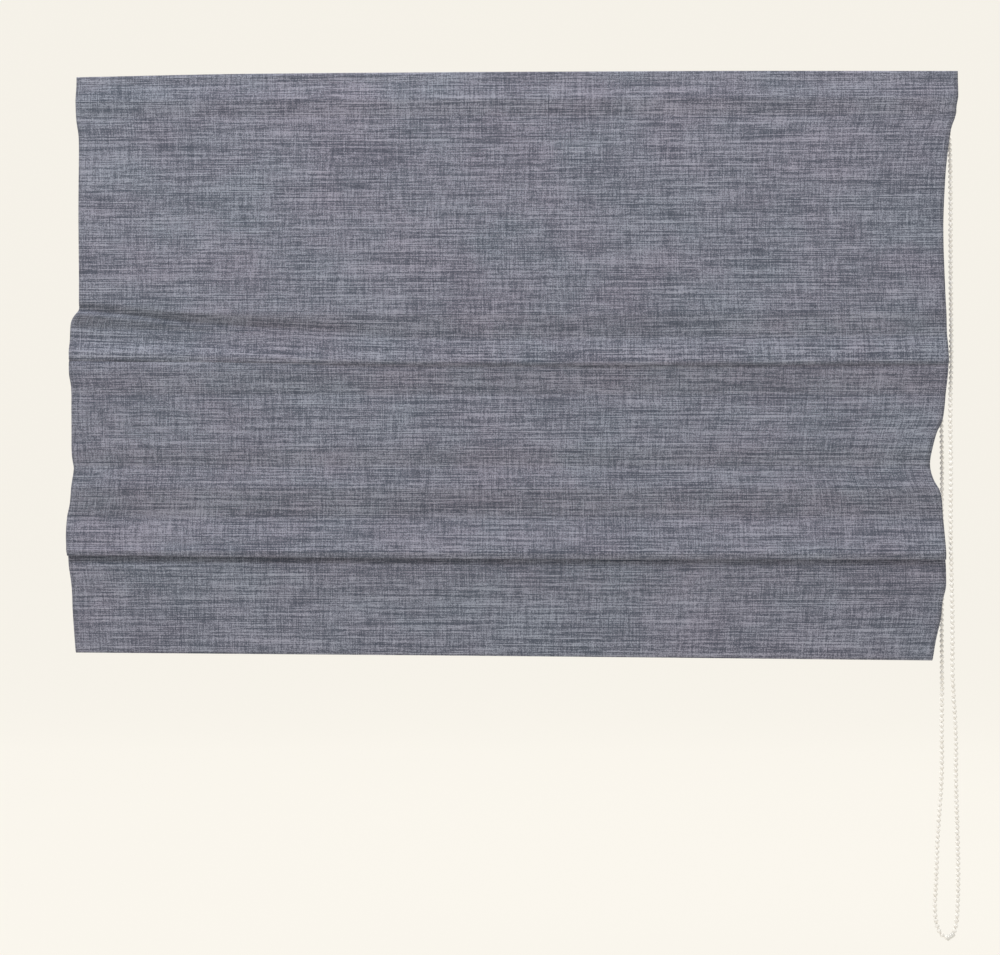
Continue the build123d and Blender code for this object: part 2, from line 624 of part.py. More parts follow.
def cord_orbs(top):
    """The three moulded orbs that hold the cords' knots under the lower rings."""
    orbs = []
    for x in CORD_XS.values():
        orb = fillet(post_z(ORB_R, x, CORD_Y, top - ORB_HIGH, top).edges(), 3.2)
        orb -= post_z(CORD_D / 2 + PLAY, x, CORD_Y, top - ORB_HIGH - 1, top + 1)
        orbs.append(orb - post_z(KNOT_R + PLAY, x, CORD_Y, top - ORB_HIGH - 1, top - ORB_HIGH / 2))
    return Compound(orbs)


def bar_low():
    return CLOTH_TOP - DROP + CLOTH / 2 + 0.9


def bottom_bar():
    middle = (HEM_Y + HEM_BACK_Y) / 2
    y0, y1 = middle - BAR_THICK / 2, middle + BAR_THICK / 2
    body = block(BAR_LEFT, BAR_RIGHT, y0, y1, bar_low(), bar_low() + BAR_HIGH)
    return chamfer(body.edges().filter_by(Axis.X), 0.4)


def bar_caps():
    """The two end caps that keep the bar's corners off the cloth."""
    middle = (HEM_Y + HEM_BACK_Y) / 2
    y0, y1 = middle - BAR_THICK / 2, middle + BAR_THICK / 2
    caps = []
    for x0, x1 in ((BAR_LEFT - 5, BAR_LEFT), (BAR_RIGHT, BAR_RIGHT + 5)):
        cap = block(x0, x1, y0, y1, bar_low(), bar_low() + BAR_HIGH)
        caps.append(fillet(cap.edges().filter_by(Axis.Y), 2.0))
    return Compound(caps)


# ---------------------------------------------------------------- files
save("headrail", headrail())
save("hook_tape", fastening_tape(RAIL_FRONT - TAPE))
save("loop_tape", fastening_tape(RAIL_FRONT - 2 * TAPE))
for side, x in BRACKET_XS.items():
    save(f"bracket_{side}", bracket(x))
    save(f"toggle_{side}", toggle(x))
    save(f"rivet_{side}", rivet(x))

rod_z = {name: CLOTH_TOP - drop for name, drop in ROD_DROPS.items()}
orb_top = rod_z["lower"] - RING_WIRE - PLAY
for side, x in CORD_XS.items():
    save(f"spool_{side}", spool(x))
    save(f"cradle_{side}", cradle(x))
    save(f"winding_{side}", coil(x, WIND_R + 0.05, CORD_D, CORD_TURNS))
    save(f"lift_cord_{side}", lift_cord(x, orb_top))

save("shaft", shaft())
save("end_cap", end_cap())
save("end_bush", end_bush())
save("drive_housing", drive_housing())
save("drive_cover", drive_cover())
save("cover_screws", cover_screws())
save("sprocket", sprocket())
save("output_drum", output_drum())
save("clutch_springs", coil(RAIL_RIGHT - 9.2, SLEEVE_OUT + SPRING_WIRE / 2 + 0.1, SPRING_WIRE, SPRING_TURNS))
save("bead_chain", bead_chain())
save("chain_connector", chain_connector())

save("fabric", fabric())
for name, z in rod_z.items():
    save(f"rod_{name}", rod(z))
    save(f"rod_caps_{name}", rod_caps(z))
    save(f"rod_sleeve_{name}", rod_sleeve(z))
    save(f"rings_{name}", rings(z))
save("cord_orbs", cord_orbs(orb_top))
save("bottom_bar", bottom_bar())
save("bar_caps", bar_caps())
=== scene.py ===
"""A chain-driven roman blind: the CAD model is the frame, and this script gives each piece its looks."""

import bisect
import math

import bpy
from mathutils import Matrix, Vector, noise


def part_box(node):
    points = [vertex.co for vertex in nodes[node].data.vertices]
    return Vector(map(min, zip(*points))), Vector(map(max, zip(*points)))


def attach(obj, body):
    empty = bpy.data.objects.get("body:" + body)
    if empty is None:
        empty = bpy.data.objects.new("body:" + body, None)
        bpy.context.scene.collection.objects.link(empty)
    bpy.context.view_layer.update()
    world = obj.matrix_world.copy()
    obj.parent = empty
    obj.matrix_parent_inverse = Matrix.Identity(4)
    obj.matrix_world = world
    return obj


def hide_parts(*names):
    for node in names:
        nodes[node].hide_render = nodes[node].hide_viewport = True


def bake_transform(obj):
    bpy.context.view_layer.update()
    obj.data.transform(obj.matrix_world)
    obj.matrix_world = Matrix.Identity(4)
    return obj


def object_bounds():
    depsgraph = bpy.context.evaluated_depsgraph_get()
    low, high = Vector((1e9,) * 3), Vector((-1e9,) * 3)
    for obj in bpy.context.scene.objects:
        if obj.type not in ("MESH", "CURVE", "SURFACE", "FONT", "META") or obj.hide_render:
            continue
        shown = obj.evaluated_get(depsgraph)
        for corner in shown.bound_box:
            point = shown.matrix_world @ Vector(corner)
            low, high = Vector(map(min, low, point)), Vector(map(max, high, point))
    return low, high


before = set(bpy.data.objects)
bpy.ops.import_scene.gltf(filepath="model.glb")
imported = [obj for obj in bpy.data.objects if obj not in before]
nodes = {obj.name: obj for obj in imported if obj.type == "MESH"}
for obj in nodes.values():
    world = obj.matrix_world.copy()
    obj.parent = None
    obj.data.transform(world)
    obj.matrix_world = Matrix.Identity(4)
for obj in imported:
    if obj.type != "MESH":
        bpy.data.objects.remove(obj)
cad_low, cad_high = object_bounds()

# ------------------------ studio
# A pale cream floor that sweeps up into a wall, so that it has no edge behind the blind. Matt paper,
# with one large soft light from the upper left, a faint one at the right and one behind.


def tint(code):
    """A colour from its sRGB hex value, as the linear RGBA that a shader takes."""
    channels = [int(code[i : i + 2], 16) / 255 for i in (1, 3, 5)]
    return [c / 12.92 if c <= 0.04045 else ((c + 0.055) / 1.055) ** 2.4 for c in channels] + [1.0]


def add_node(tree, kind, settings=None, **links):
    """Adds a node to a tree. Settings are its properties; each link is an input's name or index, with
    underscores for spaces, and either a socket to join it to or a plain value."""
    made = tree.nodes.new(kind)
    for name, value in (settings or {}).items():
        setattr(made, name, value)
    for name, value in links.items():
        key = int(name[1:]) if name[0] == "i" and name[1:].isdigit() else name.replace("_", " ")
        socket = made.inputs[key]
        if isinstance(value, bpy.types.NodeSocket):
            tree.links.new(value, socket)
        else:
            socket.default_value = value
    return made


def new_material(name, **sockets):
    """A material with a Principled shader, its plain sockets set. Returns it, its tree and its shader."""
    made = bpy.data.materials.new(name)
    made.use_nodes = True
    tree = made.node_tree
    shader = next(n for n in tree.nodes if n.type == "BSDF_PRINCIPLED")
    for key, value in sockets.items():
        shader.inputs[key.replace("_", " ")].default_value = value
    return made, tree, shader


# Uncoated background paper: matt, with a trace of mottling. It glows by itself, to stay pale all over.
paper, tree, shader = new_material("matt_background_paper", Roughness=0.95)
place = add_node(tree, "ShaderNodeTexCoord").outputs["Object"]
mottle = add_node(tree, "ShaderNodeTexNoise", Vector=place, Scale=3.0, Detail=2.0)
ramp = add_node(tree, "ShaderNodeValToRGB", Fac=mottle.outputs["Fac"])
ramp.color_ramp.elements[0].color = tint("#343331")
ramp.color_ramp.elements[1].color = tint("#393835")
tree.links.new(ramp.outputs["Color"], shader.inputs["Base Color"])
shader.inputs["Emission Color"].default_value = tint("#f7f3ea")
shader.inputs["Emission Strength"].default_value = 0.945

FLOOR_BELOW = 0.22  # the floor lies this far under the chain's lowest bead
FLOOR_REACH, SWEEP_FROM, SWEEP_RADIUS, WALL_HIGH = 9.0, 3.2, 1.6, 8.0
floor_z = cad_low[2] - FLOOR_BELOW
sweep = [(-FLOOR_REACH, floor_z), (SWEEP_FROM, floor_z)]
for step in range(1, 13):
    turn = math.radians(90 * step / 12)
    up = floor_z + SWEEP_RADIUS * (1 - math.cos(turn))
    sweep.append((SWEEP_FROM + SWEEP_RADIUS * math.sin(turn), up))
sweep.append((SWEEP_FROM + SWEEP_RADIUS, floor_z + WALL_HIGH))
verts = [(x, y, z) for y, z in sweep for x in (-FLOOR_REACH, FLOOR_REACH)]
faces = [(2 * i, 2 * i + 1, 2 * i + 3, 2 * i + 2) for i in range(len(sweep) - 1)]
backdrop_mesh = bpy.data.meshes.new("backdrop")
backdrop_mesh.from_pydata(verts, [], faces)
backdrop_mesh.shade_smooth()
backdrop_mesh.materials.append(paper)
backdrop = bpy.data.objects.new("backdrop", backdrop_mesh)
bpy.context.scene.collection.objects.link(backdrop)

world = bpy.data.worlds.new("studio")
world.use_nodes = True
sky = world.node_tree
surround = sky.nodes["Background"]
surround.inputs["Color"].default_value = tint("#fffdf9")
surround.inputs["Strength"].default_value = 0.34
seen = add_node(sky, "ShaderNodeBackground", Color=tint("#f7f3eb"), Strength=1.0)
looked_at = add_node(sky, "ShaderNodeLightPath").outputs["Is Camera Ray"]
either = add_node(sky, "ShaderNodeMixShader", Fac=looked_at, i1=surround.outputs[0], i2=seen.outputs[0])
sky.links.new(either.outputs["Shader"], sky.nodes["World Output"].inputs["Surface"])
bpy.context.scene.world = world

# name, place, target, size, power
LIGHTS = [
    ("key_softbox", (-1.0, -1.8, 2.9), (0.0, 0.0, -0.3), 1.6, 115.0),
    ("side_softbox", (2.4, -1.6, 0.4), (0.0, 0.0, -0.4), 1.6, 6.0),
    ("back_softbox", (0.6, 2.4, 1.6), (0.0, 0.0, -0.3), 1.8, 30.0),
]
for name, spot, target, size, power in LIGHTS:
    lamp = bpy.data.lights.new(name, "AREA")
    lamp.shape = "SQUARE"
    lamp.size = size
    lamp.energy = power
    lamp_object = bpy.data.objects.new(name, lamp)
    lamp_object.location = spot
    lamp_object.rotation_euler = (Vector(target) - Vector(spot)).to_track_quat("-Z", "Y").to_euler()
    bpy.context.scene.collection.objects.link(lamp_object)

CAMERA_AWAY = 2.3  # from the blind's front to the camera
VIEW_WIDTH = 1.130  # how much the camera takes in across, at that distance
VIEW_TURN = math.radians(1.5)  # the camera stands this far round to the right
aim = Vector((-0.0164, cad_low[1], -0.4381))
camera_data = bpy.data.cameras.new("camera")
camera_data.sensor_width = 36.0
camera_data.lens = camera_data.sensor_width * CAMERA_AWAY / VIEW_WIDTH
camera_data.clip_start = 0.01
camera = bpy.data.objects.new("camera", camera_data)
camera.location = aim + CAMERA_AWAY * Vector((math.sin(VIEW_TURN), -math.cos(VIEW_TURN), 0.0))
camera.rotation_euler = (aim - camera.location).to_track_quat("-Z", "Y").to_euler()
bpy.context.scene.collection.objects.link(camera)
bpy.context.scene.camera = camera
bpy.context.scene.view_settings.view_transform = "Standard"

# ------------------------ brackets and turning levers
# Two bent steel brackets that screw to the wall or ceiling, each with a steel lever on a rivet that
# turns into the headrail's slot and holds it. Pressed from sheet, then bright zinc plated.


def laid_pattern(tree, kind, output="Fac", stretch=(1.0, 1.0, 1.0), settings=None, **inputs):
    """A texture laid on the piece's own coordinates. A pattern that runs one way has a stretch."""
    place = add_node(tree, "ShaderNodeTexCoord").outputs["Object"]
    laid = add_node(tree, "ShaderNodeMapping", Vector=place, Scale=stretch).outputs["Vector"]
    return add_node(tree, kind, settings, Vector=laid, **inputs).outputs[output]


def patterned(tree, shader, colour=None, gloss=None, relief=None):
    """Lets 0 to 1 patterns run a shader's sockets. Colour is a pattern, the colours at its two ends and,
    if not 0.3 and 0.7, where in its range they lie. Gloss is a pattern and the roughness at each end.
    Relief is a pattern, the bump's strength and its depth in metres."""
    if colour:
        pattern, dark, light, *ends = colour
        low, high = ends or (0.3, 0.7)
        ramp = add_node(tree, "ShaderNodeValToRGB", Fac=pattern)
        for stop, place, code in zip(ramp.color_ramp.elements, (low, high), (dark, light)):
            stop.position, stop.color = place, tint(code)
        tree.links.new(ramp.outputs["Color"], shader.inputs["Base Color"])
    if gloss:
        pattern, low, high = gloss
        spread = add_node(tree, "ShaderNodeMapRange", Value=pattern, To_Min=low, To_Max=high)
        tree.links.new(spread.outputs["Result"], shader.inputs["Roughness"])
    if relief:
        pattern, strength, depth = relief
        bump = add_node(tree, "ShaderNodeBump", Strength=strength, Distance=depth, Height=pattern)
        tree.links.new(bump.outputs["Normal"], shader.inputs["Normal"])


def finish_nodes(material, names):
    """Gives CAD nodes a material in place of their plain one."""
    for name in names:
        slots = nodes[name].data.materials
        if len(slots) == 0:
            slots.append(material)
        for index in range(len(slots)):
            slots[index] = material


# Zinc-plated pressed steel: bright blue-white metal with a faint crystal mottle and fine rolling lines.
zinc_steel, tree, shader = new_material("zinc_plated_pressed_steel", Metallic=1.0, Roughness=0.32)
spangle = laid_pattern(tree, "ShaderNodeTexVoronoi", "Distance", Scale=420.0)
rolled = laid_pattern(tree, "ShaderNodeTexNoise", stretch=(60.0, 900.0, 900.0), Scale=1.0, Detail=2.0)
patterned(
    tree, shader, (spangle, "#b4b7bb", "#cdd0d3", 0.0, 0.9), (rolled, 0.26, 0.44), (rolled, 0.25, 0.00004)
)
finish_nodes(
    zinc_steel,
    ["bracket_left", "bracket_right", "toggle_left", "toggle_right", "rivet_left", "rivet_right"],
)

# ------------------------ headrail
# The aluminium extrusion that everything hangs from, with the brackets' slot above and the drive's
# channel below. Cut to length and powder coated white.

# Polyester powder coat on extruded aluminium: satin white with fine orange peel and faint die lines.
powder_coat, tree, shader = new_material("white_powder_coat", Roughness=0.38, IOR=1.5)
peel = laid_pattern(tree, "ShaderNodeTexNoise", Scale=900.0, Detail=2.0)
die_lines = laid_pattern(tree, "ShaderNodeTexNoise", stretch=(4.0, 1600.0, 1600.0), Scale=1.0, Detail=1.0)
cloud = laid_pattern(tree, "ShaderNodeTexNoise", Scale=9.0, Detail=2.0)
heights = add_node(tree, "ShaderNodeMath", {"operation": "ADD"}, i0=peel, i1=die_lines).outputs["Value"]
patterned(tree, shader, (cloud, "#e9e9e6", "#f2f2ef"), (peel, 0.32, 0.46), (heights, 0.3, 0.00005))
finish_nodes(powder_coat, ["headrail"])

# ------------------------ hook tape and loop tape
# Two halves of a 25 mm fastening tape. The hook half, of moulded nylon, is stuck along the rail's
# face. The woven loop half is sewn along the cloth's top edge and presses onto it, so that the cloth
# comes off for washing.

# Moulded nylon hooks: a white strip covered with rows of tiny hooks, which read as a fine grain.
hook_nylon, tree, shader = new_material("moulded_nylon_hook_tape", Roughness=0.55)
hooks = laid_pattern(tree, "ShaderNodeTexVoronoi", "Distance", Scale=900.0, Randomness=0.3)
patterned(tree, shader, (hooks, "#f0f0ec", "#c9c9c4", 0.1, 0.8), relief=(hooks, 0.7, 0.0004))
finish_nodes(hook_nylon, ["hook_tape"])


def crossed_threads(tree, sets):
    """Two sets of threads that pass over and under each other, on the piece's flat UV map. Each set is
    the radians that it turns through in one unit of U and in one unit of V."""
    flat = add_node(tree, "ShaderNodeUVMap", {"uv_map": "flat"}).outputs["UV"]
    apart = add_node(tree, "ShaderNodeSeparateXYZ", Vector=flat).outputs
    over = []
    for per_u, per_v in sets:
        turn = add_node(tree, "ShaderNodeMath", {"operation": "MULTIPLY"}, i0=apart["X"], i1=per_u)
        turn = turn.outputs[0]
        turn = add_node(
            tree, "ShaderNodeMath", {"operation": "MULTIPLY_ADD"}, i0=apart["Y"], i1=per_v, i2=turn
        )
        over.append(add_node(tree, "ShaderNodeMath", {"operation": "SINE"}, i0=turn.outputs[0]).outputs[0])
    crossed = add_node(tree, "ShaderNodeMath", {"operation": "MULTIPLY"}, i0=over[0], i1=over[1])
    return add_node(tree, "ShaderNodeMapRange", Value=crossed.outputs[0], From_Min=-1.0).outputs["Result"]


# Woven polyester tape: soft white and matt, a visible plain weave of 0.8 mm threads.
TAPE_THREADS = 1250.0 * math.pi  # half a turn for each thread, in one metre
woven_tape, tree, shader = new_material(
    "woven_polyester_tape", Roughness=0.9, Sheen_Weight=0.2, Sheen_Roughness=0.5
)
weave = crossed_threads(tree, [(TAPE_THREADS, 0.0), (0.0, TAPE_THREADS)])
patterned(tree, shader, (weave, "#cfcfca", "#efefea", 0.0, 1.0), relief=(weave, 0.6, 0.0002))


def add_piece(name, verts, faces, material, uvs):
    """A smooth mesh piece at the origin, with a place on its flat UV map for each vertex."""
    mesh = bpy.data.meshes.new(name)
    mesh.from_pydata(verts, [], faces)
    mesh.validate()
    layer = mesh.uv_layers.new(name="flat")
    for loop in mesh.loops:
        layer.data[loop.index].uv = uvs[loop.vertex_index]
    mesh.shade_smooth()
    mesh.materials.append(material)
    made = bpy.data.objects.new(name, mesh)
    bpy.context.scene.collection.objects.link(made)
    return made


def tape_strip(name, low, high, step):
    """A closed strip of tape between two corners of a box, its long edges a little uneven."""
    columns = int((high[0] - low[0]) / step) + 1
    verts, faces, uvs = [], [], []
    for i in range(columns + 1):
        x = low[0] + (high[0] - low[0]) * i / columns
        stray = 0.00025 * noise.noise((x * 60.0, 0.0, 1.0))
        for y, z in ((low[1], high[2]), (low[1], low[2]), (high[1], low[2]), (high[1], high[2])):
            verts.append((x, y, z + stray))
            uvs.append((x, z + y))
    for i in range(columns):
        for k in range(4):
            a, b = 4 * i + k, 4 * i + (k + 1) % 4
            faces.append((a, b, b + 4, a + 4))
    last = 4 * columns
    faces += [(3, 2, 1, 0), (last, last + 1, last + 2, last + 3)]
    made = add_piece(name, verts, faces, woven_tape, uvs)
    made.data.shade_flat()
    return made


tape_low, tape_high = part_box("loop_tape")
loop_strip = tape_strip("loop_tape_strip", tape_low, tape_high, 0.008)
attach(loop_strip, "rail")
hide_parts("loop_tape")

# ------------------------ end cap, drive case and chain wheel
# The plugs at the rail's ends and the chain drive. The case, cover and end cap are white nylon
# mouldings; the wheel, output drum and bushes are grey acetal, which runs dry and needs no grease.

# Spark-textured nylon: off-white, a fine even grain from the mould and slightly uneven gloss.
white_nylon, tree, shader = new_material(
    "white_moulded_nylon",
    Roughness=0.45,
    IOR=1.5,
    Subsurface_Weight=0.06,
    Subsurface_Radius=(0.002, 0.0018, 0.0015),
)
grain = laid_pattern(tree, "ShaderNodeTexNoise", Scale=1400.0, Detail=3.0)
flow = laid_pattern(tree, "ShaderNodeTexNoise", Scale=45.0, Detail=3.0)
patterned(tree, shader, (flow, "#e6e6e2", "#f1f1ee"), (flow, 0.38, 0.56), (grain, 0.35, 0.00008))

# Natural grey acetal: smooth and waxy, with faint flow marks.
grey_acetal, tree, shader = new_material("grey_moulded_acetal", Roughness=0.35, IOR=1.48)
flow = laid_pattern(tree, "ShaderNodeTexNoise", Scale=70.0, Detail=3.0, Distortion=0.6)
patterned(tree, shader, (flow, "#85888c", "#979a9e"), (flow, 0.28, 0.46), (flow, 0.15, 0.00006))

finish_nodes(white_nylon, ["end_cap", "drive_housing", "drive_cover"])
finish_nodes(grey_acetal, ["sprocket", "output_drum", "end_bush"])

# Bright steel of the cover's screws and the clutch's wrap springs: drawn wire, oiled, darker than zinc.
drawn_steel, tree, shader = new_material("drawn_steel", Metallic=1.0, Roughness=0.3)
draw_marks = laid_pattern(tree, "ShaderNodeTexNoise", Scale=1100.0, Detail=2.0)
patterned(
    tree, shader, (draw_marks, "#8f9296", "#b9bcbf"), (draw_marks, 0.22, 0.4), (draw_marks, 0.2, 0.00003)
)
finish_nodes(drawn_steel, ["cover_screws", "clutch_springs"])

# ------------------------ shaft and spools
# A hexagonal steel shaft runs the rail's length and turns three cord spools in their cradles. Each
# spool holds a few turns of its lift cord even with the blind right down.

# Cold-drawn bar: a duller plate than the brackets, with lines along its length.
drawn_bar, tree, shader = new_material("cold_drawn_plated_bar", Metallic=1.0, Roughness=0.36)
lines = laid_pattern(tree, "ShaderNodeTexNoise", stretch=(12.0, 1500.0, 1500.0), Scale=1.0, Detail=2.0)
patterned(tree, shader, (lines, "#a5a8ab", "#c4c7c9"), (lines, 0.3, 0.46), (lines, 0.3, 0.00004))
finish_nodes(drawn_bar, ["shaft"])
SIDES = ("left", "centre", "right")
finish_nodes(grey_acetal, [f"spool_{side}" for side in SIDES])
finish_nodes(white_nylon, [f"cradle_{side}" for side in SIDES])


def add_tree(name, sizes, counts=()):
    """An empty Geometry Nodes tree with a Geometry input and output and named inputs: sizes, and counts
    that are whole numbers. Returns it, its inputs' sockets and its output node."""
    group = bpy.data.node_groups.new(name, "GeometryNodeTree")
    group.interface.new_socket("Geometry", in_out="INPUT", socket_type="NodeSocketGeometry")
    for label in (*sizes, *counts):
        kind = "NodeSocketInt" if label in counts else "NodeSocketFloat"
        group.interface.new_socket(label, in_out="INPUT", socket_type=kind)
    group.interface.new_socket("Geometry", in_out="OUTPUT", socket_type="NodeSocketGeometry")
    return group, group.nodes.new("NodeGroupInput").outputs, group.nodes.new("NodeGroupOutput")


def finish_tree(group, output, geometry, material):
    """Ends a tree in Realize Instances and Set Material."""
    real = add_node(group, "GeometryNodeRealizeInstances", Geometry=geometry)
    real = real.outputs["Geometry"]
    painted = add_node(group, "GeometryNodeSetMaterial", Geometry=real, Material=material)
    group.links.new(painted.outputs["Geometry"], output.inputs["Geometry"])


def grown(name, verts, edges, group, values):
    """A piece that a tree grows from a line of points and edges, with these named inputs. The result is
    kept as a plain mesh."""
    mesh = bpy.data.meshes.new(name)
    mesh.from_pydata(verts, edges, [])
    made = bpy.data.objects.new(name, mesh)
    bpy.context.scene.collection.objects.link(made)
    modifier = made.modifiers.new("nodes", "NODES")
    modifier.node_group = group
    for item in group.interface.items_tree:
        if item.item_type == "SOCKET" and item.in_out == "INPUT" and item.name in values:
            modifier[item.identifier] = values[item.name]
    bpy.context.view_layer.update()
    evaluated = made.evaluated_get(bpy.context.evaluated_depsgraph_get())
    result = bpy.data.meshes.new_from_object(evaluated)
    result.name = name
    made.modifiers.remove(modifier)
    made.data = result
    result.shade_smooth()
    return made


# Braided polyester lift cord, wound: off-white and matt. Its 0.7 mm plaits are on object coordinates,
# because the turns have no UV map.
wound_braid, tree, shader = new_material("braided_cord_wound", Roughness=0.75, Sheen_Weight=0.25)
plaits = laid_pattern(tree, "ShaderNodeTexVoronoi", "Distance", Scale=1400.0, Randomness=0.5)
patterned(tree, shader, (plaits, "#efeee8", "#c3c1b8", 0.1, 0.9), relief=(plaits, 0.6, 0.0002))

# The turns on each drum: one tree winds a helix of cord with a set number of turns.
coil_tree, given, result = add_tree("cord_turns", ["Turns", "Radius", "Width", "Cord Radius"])
helix = add_node(
    coil_tree,
    "GeometryNodeCurveSpiral",
    Resolution=24,
    Rotations=given["Turns"],
    Start_Radius=given["Radius"],
    End_Radius=given["Radius"],
    Height=given["Width"],
)
ring = add_node(coil_tree, "GeometryNodeCurvePrimitiveCircle", Resolution=8, Radius=given["Cord Radius"])
wound = add_node(
    coil_tree,
    "GeometryNodeCurveToMesh",
    Curve=helix.outputs["Curve"],
    Profile_Curve=ring.outputs["Curve"],
    Fill_Caps=True,
)
laid_x = add_node(
    coil_tree, "GeometryNodeTransform", Geometry=wound.outputs["Mesh"], Rotation=(0.0, math.pi / 2, 0.0)
)
finish_tree(coil_tree, result, laid_x.outputs["Geometry"], wound_braid)

CORD_DIAMETER = 0.0012
for side in SIDES:
    low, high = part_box(f"winding_{side}")
    sizes = {
        "Turns": 5.0,
        "Radius": (high[2] - low[2]) / 2 - CORD_DIAMETER / 2,
        "Width": (high[0] - low[0]) - CORD_DIAMETER,
        "Cord Radius": CORD_DIAMETER / 2,
    }
    coil = grown(f"cord_turns_{side}", [], [], coil_tree, sizes)
    centre = (Vector(low) + Vector(high)) / 2
    centre.x = low[0] + CORD_DIAMETER / 2
    coil.data.transform(Matrix.Translation(centre))
    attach(coil, "drive_line")
    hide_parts(f"winding_{side}")

# ------------------------ ball chain
# An endless loop of ivory acetal balls moulded on a polyester thread, 6 mm apart, which hangs from
# the wheel. It leaves the case at the front, hangs to its lowest point and comes back up behind.

# Moulded acetal balls: ivory, satin and opaque, with a faint unevenness from ball to ball.
ivory_ball, tree, shader = new_material("ivory_acetal_balls", Roughness=0.45, IOR=1.48)
batch = laid_pattern(tree, "ShaderNodeTexNoise", Scale=150.0, Detail=2.0)
patterned(tree, shader, (batch, "#f3efe8", "#fbf9f5"), (batch, 0.38, 0.52), (batch, 0.1, 0.00005))

CHAIN_X, WHEEL_Y, WHEEL_Z = 0.489, -0.030, -0.0095  # the wheel's centre, in the chain's plane
CHAIN_LENGTH, BEAD_DIAMETER, BEAD_PITCH, THREAD_RADIUS = 1.955, 0.0045, 0.006, 0.0012
BALL_RADIUS = 0.0026  # a ball stands a little proud of the chain's nominal diameter
# Offsets from the wheel's centre, in metres: over the wheel to the front, down, and back up behind.
CHAIN_HANG = [
    (0.0, 0.0, 0.012535), (0.0, -0.005192, 0.012535), (0.0, -0.012535, 0.005192),
    (0.0, -0.012535, -0.005192), (0.0, -0.012535, -0.0205), (0.0038, -0.012535, -0.0525),
    (0.0046, -0.0128, -0.1125), (0.0046, -0.0116, -0.1735), (0.0050, -0.0122, -0.2335),
    (0.0058, -0.0110, -0.2945), (0.0040, -0.0119, -0.3525), (0.0054, -0.0106, -0.4135),
    (0.0048, -0.0110, -0.4735), (0.0058, -0.0104, -0.5355), (0.0074, -0.0099, -0.5975),
    (0.0066, -0.0109, -0.6555), (0.0116, -0.0084, -0.7175), (0.0110, -0.0092, -0.7765),
    (0.0142, -0.0042, -0.8385), (0.0154, -0.0012, -0.8955), (0.0146, 0.0, -0.9295),
    (0.0114, 0.0, -0.9475), (0.0016, -0.0002, -0.9543), (-0.0080, -0.0004, -0.9435),
    (-0.0114, 0.0004, -0.9225), (-0.0090, 0.0018, -0.8885), (-0.0068, 0.0054, -0.8325),
    (-0.0008, 0.0096, -0.7735), (-0.0012, 0.0102, -0.7145), (-0.0004, 0.0118, -0.6535),
    (-0.0014, 0.0106, -0.5945), (0.0002, 0.0120, -0.5345), (-0.0010, 0.0114, -0.4725),
    (-0.0004, 0.0118, -0.4115), (-0.0014, 0.0126, -0.3515), (-0.0008, 0.0116, -0.2915),
    (-0.0026, 0.0124, -0.2315), (-0.0010, 0.0120, -0.1715), (-0.0014, 0.0128, -0.1115),
    (0.0, 0.012535, -0.0525), (0.0, 0.012535, -0.0205), (0.0, 0.012535, -0.005192),
    (0.0, 0.012535, 0.005192), (0.0, 0.005192, 0.012535), (0.0, 0.0, 0.012535),
]


def smooth_line(points, resolution):
    """The points of a smooth NURBS line that has these points as its control points."""
    curve = bpy.data.curves.new("route", "CURVE")
    curve.dimensions = "3D"
    spline = curve.splines.new("NURBS")
    spline.points.add(len(points) - 1)
    for place, point in zip(spline.points, points):
        place.co = (*point, 1.0)
    spline.order_u = 3
    spline.use_endpoint_u = True
    spline.resolution_u = resolution
    holder = bpy.data.objects.new("route", curve)
    mesh = bpy.data.meshes.new_from_object(holder)
    line = [v.co.copy() for v in mesh.vertices]
    bpy.data.objects.remove(holder)
    bpy.data.meshes.remove(mesh)
    bpy.data.curves.remove(curve)
    return line


chain_line = smooth_line([(CHAIN_X + x, WHEEL_Y + y, WHEEL_Z + z) for x, y, z in CHAIN_HANG], 12)


def strung(tree, line, cut, form, **spacing):
    """Puts a copy of a form, turned along the line, at each point where the line is cut."""
    spots = add_node(tree, "GeometryNodeCurveToPoints", {"mode": cut}, Curve=line, **spacing).outputs
    return add_node(
        tree,
        "GeometryNodeInstanceOnPoints",
        Points=spots["Points"],
        Instance=form,
        Rotation=spots["Rotation"],
    ).outputs["Instances"]


# One tree makes the chain from that line: the thread is a thin tube along it, and the line is cut at
# the ball pitch with one moulded ball at each cut.
ball_tree, given, result = add_tree("ball_chain", ["Ball Radius", "Thread Radius"], ["Count"])
route = add_node(ball_tree, "GeometryNodeMeshToCurve", Mesh=given["Geometry"]).outputs["Curve"]
ball = add_node(ball_tree, "GeometryNodeMeshUVSphere", Segments=14, Rings=9, Radius=given["Ball Radius"])
balls = strung(ball_tree, route, "COUNT", ball.outputs["Mesh"], Count=given["Count"])
ring = add_node(ball_tree, "GeometryNodeCurvePrimitiveCircle", Resolution=6, Radius=given["Thread Radius"])
core = add_node(ball_tree, "GeometryNodeCurveToMesh", Curve=route, Profile_Curve=ring.outputs["Curve"])
both = add_node(ball_tree, "GeometryNodeJoinGeometry", Geometry=core.outputs["Mesh"])
ball_tree.links.new(balls, both.inputs["Geometry"])
finish_tree(ball_tree, result, both.outputs["Geometry"], ivory_ball)

chain_run = sum((b - a).length for a, b in zip(chain_line, chain_line[1:]))
sizes = {
    "Count": round(chain_run / BEAD_PITCH) + 1,
    "Ball Radius": BALL_RADIUS,
    "Thread Radius": THREAD_RADIUS,
}
links = [(i, i + 1) for i in range(len(chain_line) - 1)]
chain = grown("ball_chain", chain_line, links, ball_tree, sizes)
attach(chain, "rail")
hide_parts("bead_chain")

